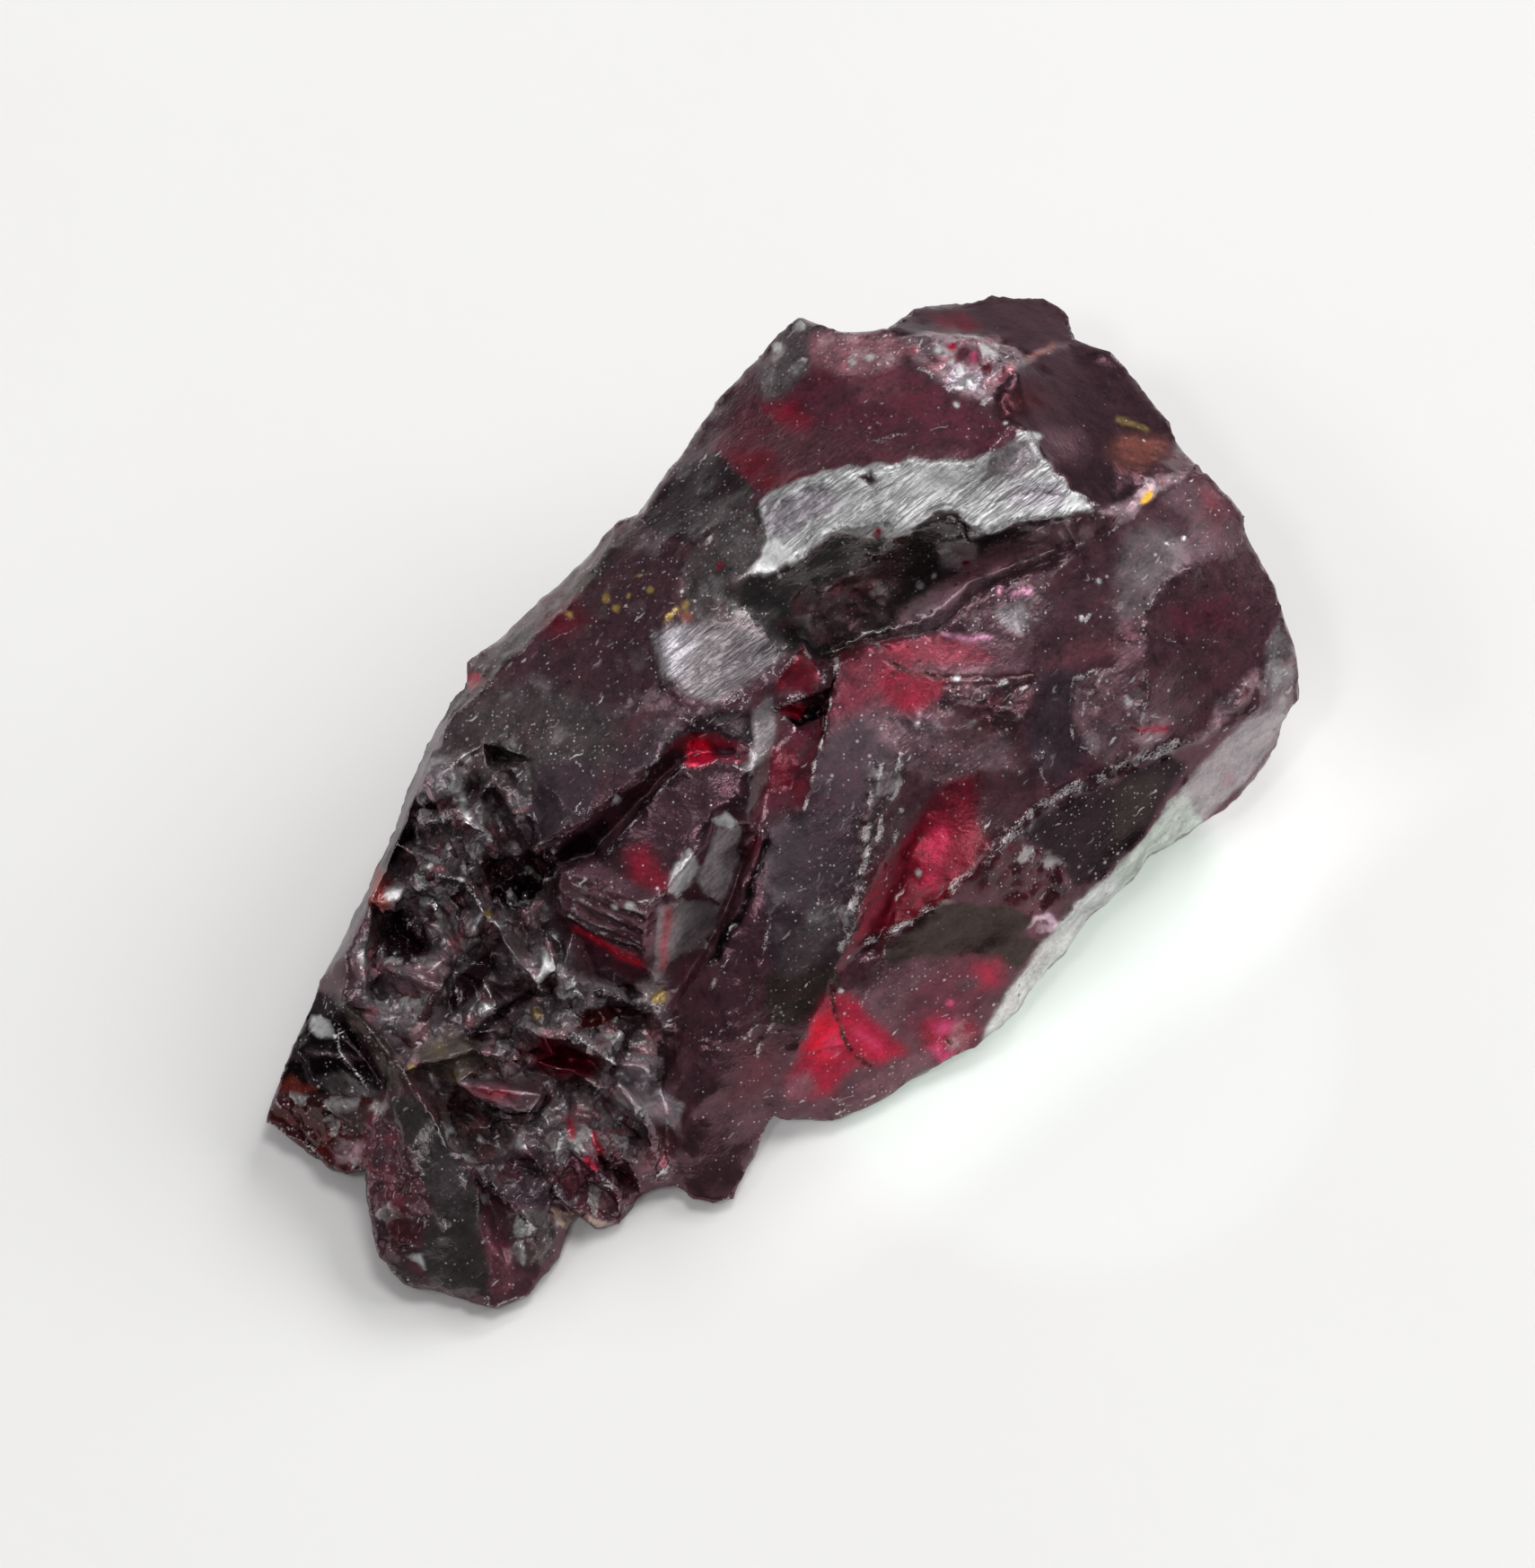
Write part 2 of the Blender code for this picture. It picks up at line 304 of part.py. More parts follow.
def sighted_net():
    """The net over the upper side: its sighted points, triangles, fixed heights and ridge edges."""
    rim = chipped(RIM)
    heights = {}
    for x, y, height in rim + [point for ridge in RIDGES.values() for point in ridge]:
        heights[(x, y)] = height
    places = list(heights)
    index = {place: number for number, place in enumerate(places)}
    paths = [rim + rim[:1], *RIDGES.values()]
    edges = [
        (index[start[:2]], index[end[:2]])
        for path in paths
        for start, end in zip(path, path[1:])
    ]
    lines = [(Vector(places[a]), Vector(places[b])) for a, b in edges]
    points = [Vector(place) for place in places] + fill_points(lines, rim)
    points, net_edges, faces, origins, edge_origins, _ = delaunay_2d_cdt(
        points, edges, [], 0, 1e-4, True
    )
    faces = [face for face in faces if inside(sum((points[v] for v in face), Vector((0, 0))) / 3, rim)]
    fixed = {
        number: heights[places[origin[0]]]
        for number, origin in enumerate(origins)
        if origin and origin[0] < len(places)
    }
    ridge_edges = {
        frozenset(edge) for edge, origin in zip(net_edges, edge_origins) if origin
    }
    return points, faces, fixed, ridge_edges


def face_sags(points, faces, ridge_edges):
    """Each net point's rate of sag, from the fracture face that it lies on."""
    beside = {}
    for number, face in enumerate(faces):
        for a, b in zip(face, face[1:] + face[:1]):
            beside.setdefault(frozenset((a, b)), []).append(number)
    sags = {}
    for x, y, rate in FACE_SAG.values():
        start = min(
            range(len(faces)),
            key=lambda f: (sum((points[v] for v in faces[f]), Vector((0, 0))) / 3 - Vector((x, y))).length,
        )
        reached, waiting = {start}, [start]
        while waiting:
            face = faces[waiting.pop()]
            for a, b in zip(face, face[1:] + face[:1]):
                edge = frozenset((a, b))
                if edge in ridge_edges:
                    continue
                fresh = [f for f in beside[edge] if f not in reached]
                reached.update(fresh)
                waiting.extend(fresh)
        for face in reached:
            sags.update(dict.fromkeys(faces[face], rate))
    return sags


def stretched_heights(points, faces, fixed, sags):
    """Every net point's height: ridges as surveyed, and each face a skin drawn between them, sagging."""
    pulls = {number: {} for number in range(len(points))}
    areas = dict.fromkeys(range(len(points)), 0.0)
    for a, b, c in faces:
        for near, one, other in ((a, b, c), (b, c, a), (c, a, b)):
            first, second = points[one] - points[near], points[other] - points[near]
            twice_area = abs(first.cross(second))
            pull = max(first.dot(second) / twice_area, 0.02)
            pulls[one][other] = pulls[one].get(other, 0.0) + pull
            pulls[other][one] = pulls[other].get(one, 0.0) + pull
            areas[near] += twice_area
    mean = sum(fixed.values()) / len(fixed)
    heights = [fixed.get(number, mean) for number in range(len(points))]
    free = [number for number in range(len(points)) if number not in fixed and pulls[number]]
    for _ in range(STRETCHES):
        for number in free:
            pull = pulls[number]
            load = sags.get(number, SAG_PER_MM) * areas[number]
            drawn = (sum(heights[other] * share for other, share in pull.items()) - load) / sum(pull.values())
            heights[number] += 1.6 * (drawn - heights[number])
    return heights


def lump(x, y):
    """How far the rubble stands at a sighted point, from -0.5 in a hollow to 0.5 on a lump's flat top."""
    place = Vector((x * 1.25 + 0.35 * y, y * 0.9, 3.7)) / RUBBLE_LUMP
    near, points = noise.voronoi(place)
    step = noise.cell(points[0] * 7.3 + Vector((0.5, 0.5, 0.5)))
    return min(step, 0.15 + 2.2 * (near[1] - near[0])) - 0.5


def upper_side():
    """The upper side as an open sheet."""
    points, faces, fixed, ridge_edges = sighted_net()
    heights = stretched_heights(points, faces, fixed, face_sags(points, faces, ridge_edges))
    for number, point in enumerate(points):
        if number not in fixed and inside(point, RUBBLE_OUTLINE):
            heights[number] += RUBBLE_HEIGHT * lump(*point)
    sheet = bmesh.new()
    verts = [sheet.verts.new(sighted(*point, height) * MM) for point, height in zip(points, heights)]
    for face in faces:
        sheet.faces.new([verts[number] for number in face])
    bmesh.ops.delete(sheet, geom=[v for v in verts if not v.link_faces], context="VERTS")
    bmesh.ops.recalc_face_normals(sheet, faces=sheet.faces)
    if sum((face.normal for face in sheet.faces), Vector()).z < 0:
        bmesh.ops.reverse_faces(sheet, faces=sheet.faces)
    return sheet


# ---------------------------------------------------------------------------
# The body
# ---------------------------------------------------------------------------
def cut(body, point, outward):
    """Cleaves the body flat at a plane, takes off what lies outside, and closes the cut."""
    made = bmesh.ops.bisect_plane(
        body,
        geom=body.verts[:] + body.edges[:] + body.faces[:],
        dist=1e-7,
        plane_co=point,
        plane_no=outward,
        clear_outer=True,
    )
    edges = [part for part in made["geom_cut"] if isinstance(part, bmesh.types.BMEdge)]
    bmesh.ops.holes_fill(body, edges=[edge for edge in edges if edge.is_boundary], sides=0)


def stone_body():
    """The upper side given depth along the sight, then cut by the cleavages and the base."""
    body = upper_side()
    crown = [vert.co.copy() for vert in body.verts]
    steep = math.radians(SIGHT_ELEVATION)
    away = Vector((0, math.cos(steep), -math.sin(steep))) * BODY_DEPTH * MM
    rim = [edge for edge in body.edges if edge.is_boundary]
    walls = bmesh.ops.extrude_edge_only(body, edges=rim)["geom"]
    bmesh.ops.translate(
        body, vec=away, verts=[part for part in walls if isinstance(part, bmesh.types.BMVert)]
    )
    bmesh.ops.holes_fill(body, edges=[edge for edge in body.edges if edge.is_boundary], sides=0)
    bmesh.ops.recalc_face_normals(body, faces=body.faces)
    cut(body, Vector((0, 0, 0)), Vector((0, 0, -1)))
    for facing, lean, gap in CLEAVAGES:
        around, under = math.radians(facing), math.radians(lean)
        outward = Vector(
            (math.cos(around) * math.cos(under), math.sin(around) * math.cos(under), -math.sin(under))
        )
        reach = max(outward.dot(place) for place in crown) + gap * MM
        cut(body, outward * reach, outward)
    return body


def laid_out(body):
    """Turns the stone's length along X and sets the origin under the middle of its box."""
    bmesh.ops.rotate(body, verts=body.verts, matrix=Matrix.Rotation(math.radians(LENGTHWAYS), 3, "Z"))
    for axis in range(2):
        spread = [vert.co[axis] for vert in body.verts]
        shift = Vector((0, 0, 0))
        shift[axis] = -(min(spread) + max(spread)) / 2
        bmesh.ops.translate(body, vec=shift, verts=body.verts)


def in_order(body):
    """Sorts the body's parts by place, so that every run writes them alike."""
    slant = Vector((1.0, 0.6180, 0.4142))
    body.verts.sort(key=lambda vert: vert.co.dot(slant))
    body.edges.sort(key=lambda edge: (edge.verts[0].co + edge.verts[1].co).dot(slant))
    body.faces.sort(key=lambda face: face.calc_center_median().dot(slant))


def flake_cutter(body, name, struck, helpers):
    """The ball that a flake scar follows, its side just inside the stone where the blow falls."""
    (x, y, z), bearing, climb, radius, bite = struck
    around, above = math.radians(bearing), math.radians(climb)
    outward = Vector(
        (math.cos(around) * math.cos(above), math.sin(around) * math.cos(above), math.sin(above))
    )
    middle = Vector((x, y, z)) * MM
    hit, normal, _, _ = BVHTree.FromBMesh(body).ray_cast(middle + outward * 40 * MM, -outward)
    ball = bmesh.new()
    bmesh.ops.create_icosphere(ball, subdivisions=5, radius=radius * MM)
    for vert in ball.verts:
        vert.co += vert.normal * SCAR_WAVER * MM * noise.noise(vert.co / (1.9 * MM) + middle / MM)
    bmesh.ops.translate(ball, vec=hit + normal * (radius - bite) * MM, verts=ball.verts)
    mesh = bpy.data.meshes.new("flake_" + name)
    ball.to_mesh(mesh)
    ball.free()
    cutter = bpy.data.objects.new("flake_" + name, mesh)
    cutter.hide_render = True
    cutter.display_type = "WIRE"
    helpers.objects.link(cutter)
    return cutter


def crystal_material():
    material = bpy.data.materials.new("painite")
    material.use_nodes = True
    shader = material.node_tree.nodes["Principled BSDF"]
    shader.inputs["Base Color"].default_value = CRYSTAL_COLOUR
    shader.inputs["Roughness"].default_value = CRYSTAL_ROUGHNESS
    shader.inputs["Metallic"].default_value = 0.0
    shader.inputs["IOR"].default_value = CRYSTAL_IOR
    return material


def main():
    for old in list(bpy.data.objects):
        bpy.data.objects.remove(old)
    body = stone_body()
    laid_out(body)
    in_order(body)
    bmesh.ops.triangulate(body, faces=body.faces)
    parts = bpy.data.collections.new("rough_painite")
    helpers = bpy.data.collections.new("cutters")
    bpy.context.scene.collection.children.link(parts)
    bpy.context.scene.collection.children.link(helpers)
    mesh = bpy.data.meshes.new("painite_crystal")
    mesh.materials.append(crystal_material())
    stone = bpy.data.objects.new("painite_crystal", mesh)
    parts.objects.link(stone)
    for name, struck in FLAKE_SCARS.items():
        scar = stone.modifiers.new(name, "BOOLEAN")
        scar.operation = "DIFFERENCE"
        scar.solver = "EXACT"
        scar.object = flake_cutter(body, name, struck, helpers)
    body.to_mesh(mesh)
    body.free()


main()
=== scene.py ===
import math

import bmesh
import bpy
import numpy as np
from mathutils import Matrix, Vector, kdtree, noise


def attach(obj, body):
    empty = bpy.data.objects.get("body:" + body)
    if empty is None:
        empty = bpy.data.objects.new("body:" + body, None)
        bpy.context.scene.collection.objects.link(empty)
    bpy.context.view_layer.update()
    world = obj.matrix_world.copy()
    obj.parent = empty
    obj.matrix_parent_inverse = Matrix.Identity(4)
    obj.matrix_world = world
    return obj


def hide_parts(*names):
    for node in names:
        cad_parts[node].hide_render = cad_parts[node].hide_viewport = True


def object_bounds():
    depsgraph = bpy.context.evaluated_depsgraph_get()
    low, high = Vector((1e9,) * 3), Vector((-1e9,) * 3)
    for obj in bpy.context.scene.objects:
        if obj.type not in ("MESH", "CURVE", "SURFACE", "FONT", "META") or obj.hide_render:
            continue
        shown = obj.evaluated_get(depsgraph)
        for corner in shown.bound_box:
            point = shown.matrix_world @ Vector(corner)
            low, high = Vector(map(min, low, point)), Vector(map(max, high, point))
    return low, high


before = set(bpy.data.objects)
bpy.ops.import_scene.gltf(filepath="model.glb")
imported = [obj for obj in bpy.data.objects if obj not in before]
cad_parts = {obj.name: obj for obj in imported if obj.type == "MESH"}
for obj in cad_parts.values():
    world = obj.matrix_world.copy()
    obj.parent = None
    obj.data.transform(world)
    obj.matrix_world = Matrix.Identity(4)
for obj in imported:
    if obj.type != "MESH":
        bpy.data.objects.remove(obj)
cad_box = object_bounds()

# ---------------------------------------------------------------------------
# The viewer: a stone this small is studied through a long lens, from one side and 65 degrees up.
# Places on the table are given as they are met from there: millimetres right, millimetres up.
# ---------------------------------------------------------------------------
MM = 0.001


def toward(turn, climb):
    """The direction this far round from the front and this far up, both in radians."""
    level = math.cos(climb)
    return Vector((math.sin(turn) * level, -math.cos(turn) * level, math.sin(climb)))


sight_turn = math.radians(-50.0)
sight_climb = math.radians(65.0)
sight_right = Vector((math.cos(sight_turn), math.sin(sight_turn), 0.0))
sight_back = toward(sight_turn, sight_climb)
sight_up = sight_back.cross(sight_right)
to_sight = Matrix((sight_right, sight_up, sight_back))
sight_middle = Vector((1.877, 1.581, 0.0)) * MM
view_distance = 0.9
view_drop = 0.01 * MM
view_height = 34.94 * MM
in_focus = 5.4 * MM  # the middle of the stone's height, measured along the sight
film_width = 36.0
viewer = bpy.data.cameras.new("viewer")
viewer.lens = film_width * (view_distance - in_focus) / view_height
viewer.clip_start = 0.01
viewer.clip_end = 10.0
viewer_stand = bpy.data.objects.new("viewer", viewer)
bpy.context.scene.collection.objects.link(viewer_stand)
viewer_stand.matrix_world = (
    Matrix.Translation(sight_middle - sight_up * view_drop + sight_back * view_distance)
    @ to_sight.transposed().to_4x4()
)
bpy.context.scene.camera = viewer_stand
bpy.context.scene.view_settings.view_transform = "Standard"
bpy.context.scene.cycles.max_bounces = 6

# ---------------------------------------------------------------------------
# The table: a sheet of thin pale paper with a faint even glow. Painted glow takes the place of a
# lamp below: a greenish white pool beside the stone, a soft strip along its right edge, and a
# small bright spot under its thinner parts.
# ---------------------------------------------------------------------------


class Wire:
    """One output of a shader node, with the arithmetic of single values."""

    def __init__(self, bench, socket):
        self.bench = bench
        self.socket = socket

    def worked(self, operation, *values):
        return self.bench.add("ShaderNodeMath", {"operation": operation}, dict(enumerate(values)))

    def __add__(self, other):
        return self.worked("ADD", self, other)

    def __radd__(self, other):
        return self.worked("ADD", other, self)

    def __sub__(self, other):
        return self.worked("SUBTRACT", self, other)

    def __rsub__(self, other):
        return self.worked("SUBTRACT", other, self)

    def __mul__(self, other):
        return self.worked("MULTIPLY", self, other)

    def __truediv__(self, other):
        return self.worked("DIVIDE", self, other)

    def __abs__(self):
        return self.worked("ABSOLUTE", self)

    def least(self, other):
        return self.worked("MINIMUM", self, other)

    def most(self, other):
        return self.worked("MAXIMUM", self, other)

    def eased(self, low, high):
        """0 at low, 1 at high, and a smooth step between them."""
        feeds = {"Value": self, "From Min": low, "From Max": high}
        return self.bench.add("ShaderNodeMapRange", {"interpolation_type": "SMOOTHSTEP"}, feeds)

    def faded(self, low, high):
        """1 at low, 0 at high, and a smooth step between them."""
        return 1.0 - self.eased(low, high)


class Bench:
    """A node tree, and the one way nodes are added to it."""

    def __init__(self, tree):
        self.tree = tree
        tree.nodes.clear()

    def add(self, kind, settings, feeds, *outs):
        """A node of this kind: its settings first, then the values or wires of its sockets.
        Gives the wires of the outputs that are asked for, or else of the first."""
        node = self.tree.nodes.new(kind)
        for name, value in settings.items():
            setattr(node, name, value)
        for name, value in feeds.items():
            if isinstance(value, Wire):
                self.tree.links.new(value.socket, node.inputs[name])
            else:
                node.inputs[name].default_value = value
        sockets = [node.outputs[name] for name in outs] or node.outputs[:1]
        wires = [Wire(self, socket) for socket in sockets]
        return wires[0] if len(wires) == 1 else wires

    def vector(self, operation, first, second, out=0):
        """Vector maths on two values or wires."""
        feeds = {0: first, 1: second}
        return self.add("ShaderNodeVectorMath", {"operation": operation}, feeds, out)

    def mixed(self, factor, first, second):
        """first where factor is 0, second where it is 1; each a colour or a wire of one."""
        # A Mix node takes its colours in sockets 6 and 7, and gives their mixture in output 2.
        feeds = {0: factor}
        for socket, value in ((6, first), (7, second)):
            feeds[socket] = value if isinstance(value, Wire) else (*value, 1.0)
        return self.add("ShaderNodeMix", {"data_type": "RGBA"}, feeds, 2)


def met_at(right, up):
    """The place on the table that is met this far right and up."""
    away = -toward(sight_turn, 0.0)
    return sight_middle + (sight_right * right + away * (up / math.sin(sight_climb))) * MM


def set_down(name, shape):
    """The finished shape as an object of this name."""
    mesh = bpy.data.meshes.new(name)
    shape.to_mesh(mesh)
    shape.free()
    piece = bpy.data.objects.new(name, mesh)
    bpy.context.scene.collection.objects.link(piece)
    return piece


paper_half = 0.6
paper_shape = bmesh.new()
bmesh.ops.create_grid(paper_shape, x_segments=1, y_segments=1, size=paper_half)
paper = set_down("paper", paper_shape)

paper_white = bpy.data.materials.new("paper_white")
paper_white.use_nodes = True
bench = Bench(paper_white.node_tree)
where = bench.add("ShaderNodeTexCoord", {}, {}, "Object")
blotch = bench.add("ShaderNodeTexNoise", {}, {"Vector": where, "Scale": 55.0, "Detail": 4.0})
fibre = bench.add("ShaderNodeTexNoise", {}, {"Vector": where, "Scale": 1400.0, "Detail": 3.0})
paper_colour = bench.mixed(blotch.eased(0.3, 0.75), (0.885, 0.88, 0.865), (0.87, 0.862, 0.85))

# The painted pool of greenish white light beside the stone.
pool_middle = met_at(6.9, -5.54)
pool_radius = 6.0 * MM
from_pool = bench.vector("DISTANCE", where, pool_middle, "Value")
pool = from_pool.faded(0.82 * pool_radius, 1.12 * pool_radius)

# The painted strip of light along the stone's right edge.
strip_start = met_at(0.5, -8.9)
strip_end = met_at(12.3, 0.4)
strip_run = (strip_end - strip_start).normalized()
strip_side = Vector((strip_run.y, -strip_run.x, 0.0))
strip_length = (strip_end - strip_start).length
from_start = bench.vector("SUBTRACT", where, strip_start)
aside = bench.vector("DOT_PRODUCT", from_start, strip_side, "Value")
off_middle = bench.vector("DOT_PRODUCT", from_start, strip_run, "Value") - strip_length / 2
strip = abs(aside).faded(0.5 * MM, 3.6 * MM) * abs(off_middle).faded(3.5 * MM, 12.0 * MM)

# The painted bright spot under the stone's thinner parts, which glows up through them.
spot_middle = met_at(3.6, -1.6)
spot = bench.vector("DISTANCE", where, spot_middle, "Value").faded(0.5 * MM, 2.2 * MM)

full_glow = 1.3
paper_glow = 0.035
pool_glow = 0.055
strip_glow = 0.30
spot_glow = 0.8
glow = (paper_glow + pool * pool_glow + strip * strip_glow + spot * spot_glow) / full_glow
glow_tint = bench.mixed(pool, (1.0, 1.0, 0.99), (0.84, 1.0, 0.90))
fibre_bump = {"Height": fibre, "Strength": 0.12, "Distance": 0.05 * MM}
paper_finish = bench.add(
    "ShaderNodeBsdfPrincipled",
    {},
    {
        "Base Color": paper_colour,
        "Roughness": 0.75,
        "Specular IOR Level": 0.25,
        "Emission Color": bench.mixed(glow, (0.0, 0.0, 0.0), glow_tint),
        "Emission Strength": full_glow,
        "Normal": bench.add("ShaderNodeBump", {}, fibre_bump),
    },
)
bench.add("ShaderNodeOutputMaterial", {}, {"Surface": paper_finish})
paper.data.materials.append(paper_white)

# ---------------------------------------------------------------------------
# The room: a pale studio tent, brightest overhead and behind the stone, dark low down. It has
# five soft round lamps: overhead, left, a small strong one in front, and a lamp and a wide panel
# behind on the right.
# ---------------------------------------------------------------------------
room = bpy.data.worlds.new("tent")
room.use_nodes = True
bpy.context.scene.world = room
bench = Bench(room.node_tree)
direction = bench.add("ShaderNodeTexCoord", {}, {}, "Generated")
tent_lean = math.radians(20.0)
tent_top = toward(sight_turn + math.pi, math.pi / 2 - tent_lean)
toward_top = bench.vector("DOT_PRODUCT", direction, tent_top, "Value")
tent_light = bench.mixed(toward_top.eased(0.45, 1.0), (0.10, 0.10, 0.102), (0.40, 0.40, 0.41))
tent = bench.add("ShaderNodeBackground", {}, {"Color": tent_light, "Strength": 1.0})
bench.add("ShaderNodeOutputWorld", {}, {"Surface": tent})
lamp_distance = 0.5


def softbox(name, bearing, climb, width, radiance):
    """A round soft lamp that faces the stone, this bearing from the sight and this far up."""
    lamp = bpy.data.lights.new(name, "AREA")
    lamp.shape = "DISK"
    lamp.size = width
    lamp.energy = radiance * math.pi * math.pi * (width / 2) ** 2
    stand = bpy.data.objects.new(name, lamp)
    back = toward(sight_turn + math.radians(bearing), math.radians(climb))
    stand.rotation_mode = "QUATERNION"
    stand.rotation_quaternion = (-back).to_track_quat("-Z", "Y")
    stand.location = back * lamp_distance
    bpy.context.scene.collection.objects.link(stand)
    return stand


softbox("lamp_overhead", 150.0, 78.0, 0.17, 8.0)
softbox("lamp_left", -74.0, 53.0, 0.11, 5.0)
softbox("lamp_front", -27.0, 67.0, 0.05, 34.0)
softbox("lamp_right", 151.0, 38.0, 0.17, 10.5)
softbox("panel_right", 114.0, 31.0, 0.36, 3.9).visible_glossy = False

# ---------------------------------------------------------------------------
# The stone: one broken piece of a painite crystal, dark red and clear only where it is thin. Its
# faces are shell-like breaks, glossy or silky; its lower end is crushed. Nothing is fixed to it.
# ---------------------------------------------------------------------------
one_place = 1e-6
stone_shape = bmesh.new()
stone_shape.from_mesh(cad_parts["painite_crystal"].data)
bmesh.ops.remove_doubles(stone_shape, verts=stone_shape.verts[:], dist=one_place)
stone_shape.normal_update()

sharp_bend = math.radians(15.0)
sample_step = 0.10 * MM
ridge_places = []
ridge_bends = []
for edge in stone_shape.edges:
    bend = edge.calc_face_angle_signed(0.0)
    if abs(bend) < sharp_bend:
        continue
    start, stop = (v.co for v in edge.verts)
    steps = max(1, int(edge.calc_length() / sample_step))
    for step in range(steps + 1):
        ridge_places.append(start.lerp(stop, step / steps))
        ridge_bends.append(math.degrees(bend))
ridge_tree = kdtree.KDTree(len(ridge_places))
for index, place in enumerate(ridge_places):
    ridge_tree.insert(place, index)
ridge_tree.balance()

table_clearance = 0.02 * MM
shown_grain = 0.23 * MM
hidden_grain = 0.45 * MM
base_grain = 1.2 * MM
turned_away = -0.02  # how far a face may turn from the sight and still be on that side
most_halvings = 9


def grain_at(edge):
    """How long an edge may be, where this one is: shortest on the side that is looked at."""
    if max(v.co.z for v in edge.verts) < table_clearance:
        return base_grain
    facing = sum((f.normal for f in edge.link_faces), Vector()).normalized().dot(sight_back)
    return shown_grain if facing > turned_away else hidden_grain


def split(edges):
    """Halves these edges and keeps every face a triangle."""
    bmesh.ops.subdivide_edges(stone_shape, edges=edges, cuts=1)
    bmesh.ops.triangulate(stone_shape, faces=[f for f in stone_shape.faces if len(f.verts) > 3])
    stone_shape.normal_update()
    stone_shape.verts.index_update()


for _ in range(most_halvings):
    too_long = [
        e
        for e in stone_shape.edges
        if e.calc_length() > shown_grain and e.calc_length() > grain_at(e)
    ]
    if not too_long:
        break
    split(too_long)


def ridges_by():
    """For every vertex, how far the nearest ridge is in millimetres and how sharply it bends."""
    found = [ridge_tree.find(v.co)[1:] for v in stone_shape.verts]
    return [gap / MM for _, gap in found], [ridge_bends[index] for index, _ in found]


# Marks are read off a ruled sheet held across the sight, 50 lines to the millimetre. The sight's
# middle falls on line 855 across and line 873 down.
sheet_middle = (855.0, 873.0)
sheet_lines = 50.0


def wander(scale, reach, shift):
    """A smooth noise for every vertex: this many waves to the millimetre, this far either way."""
    turn = Vector((shift, shift * 1.7, shift * 0.6))
    return reach * np.array([noise.noise(v.co / MM * scale + turn) for v in stone_shape.verts])


def ease(values, low, high):
    """A smooth step from 0 at low to 1 at high, for one value or for many."""
    share = np.clip((values - low) / (high - low), 0.0, 1.0)
    return share * share * (3.0 - 2.0 * share)


def vector_noise(place):
    """Three smooth noises at one place, as a vector."""
    shifts = (Vector((3.1, 0.0, 0.0)), Vector((0.0, 7.7, 0.0)), Vector((0.0, 0.0, 11.9)))
    return Vector([noise.noise(place + shift) for shift in shifts])


def gap_to(u, v, path, closed):
    """How far each place is from a path of straight stretches; less than 0 inside a closed one."""
    nearest = np.full(len(u), np.inf)
    within = np.zeros(len(u), bool)
    ends = zip(path, path[1:] + path[:1]) if closed else zip(path, path[1:])
    for (ax, ay), (bx, by) in ends:
        dx, dy = bx - ax, by - ay
        share = np.clip(((u - ax) * dx + (v - ay) * dy) / (dx * dx + dy * dy), 0.0, 1.0)
        nearest = np.minimum(nearest, (u - ax - share * dx) ** 2 + (v - ay - share * dy) ** 2)
        if closed and dy:
            within ^= ((ay > v) != (by > v)) & (u < ax + (v - ay) * dx / dy)
    return np.where(within, -1.0, 1.0) * np.sqrt(nearest)


# The tones found on the stone, as they show in even light on a scale of 0 to 255. The palest,
# frost and white, are laid as painted highlights, glints and reflections.
tones = {
    "coal": (28, 23, 25), "char": (42, 34, 37), "umber": (56, 49, 47), "dusk": (60, 51, 56),
    "brown": (64, 46, 44), "oxblood": (60, 24, 28), "maroon": (70, 52, 57), "sloe": (58, 42, 47),
    "mulberry": (78, 46, 54), "wine": (94, 32, 42), "garnet": (120, 32, 48),
    "ruby": (156, 34, 56), "ember": (192, 26, 46), "flame": (228, 44, 70),
    "hot_rose": (208, 62, 96), "pink": (236, 108, 132), "brick": (130, 54, 44),
    "rust": (148, 88, 76), "rosewood": (98, 62, 70), "plum": (84, 60, 67), "smoke": (70, 66, 66),
    "slate": (84, 78, 80), "mauve": (104, 84, 90), "ash": (104, 98, 101),
    "heather": (128, 106, 113), "pewter": (124, 118, 120), "tan": (138, 122, 114),
    "olive": (98, 92, 83), "gold": (156, 132, 76), "amber": (240, 140, 52),
    "silver": (152, 147, 152), "rose_ash": (132, 92, 100), "blush": (178, 146, 158),
    "pearl": (184, 178, 184), "sage": (142, 148, 142), "frost": (212, 208, 212),
    "white": (238, 238, 240),
}

# How the skin of a face is: its roughness, how wrinkled, how speckled with crumbs, how much of it
# shines like a crack just under the skin, and how broken up it is.
skins = {
    "glossy": (0.18, 0.08, 0.16, 0.10, 0.0),
    "shaded": (0.22, 0.12, 0.28, 0.60, 0.0),
    "deep": (0.32, 0.0, 0.03, 0.85, 0.0),
    "dull": (0.30, 0.15, 0.55, 0.35, 0.1),
    "crushed": (0.24, 0.30, 0.60, 0.20, 1.0),
    "crumbly": (0.34, 0.25, 1.0, 0.35, 0.35),
    # Dark and glossy, for the scar, the wedge, and cracks, pits and hollows painted dark as shade.
    "dark_glossy": (0.22, 0.15, 0.55, 0.80, 0.0),
    "silky": (0.40, 1.0, 0.12, 0.75, 0.0),
    "chalky": (0.60, 0.60, 0.06, 0.0, 0.0),
    "satin": (0.42, 0.25, 0.15, 0.60, 0.0),
    "mirror": (0.50, 0.20, 0.05, 0.92, 0.0),
    "clear": (0.30, 0.05, 0.20, 0.30, 0.0),
    "matt": (0.50, 0.15, 0.42, 0.20, 0.0),
}
SHINE, BROKEN = 3, 4  # where a skin says how much of it shines, and how broken up it is
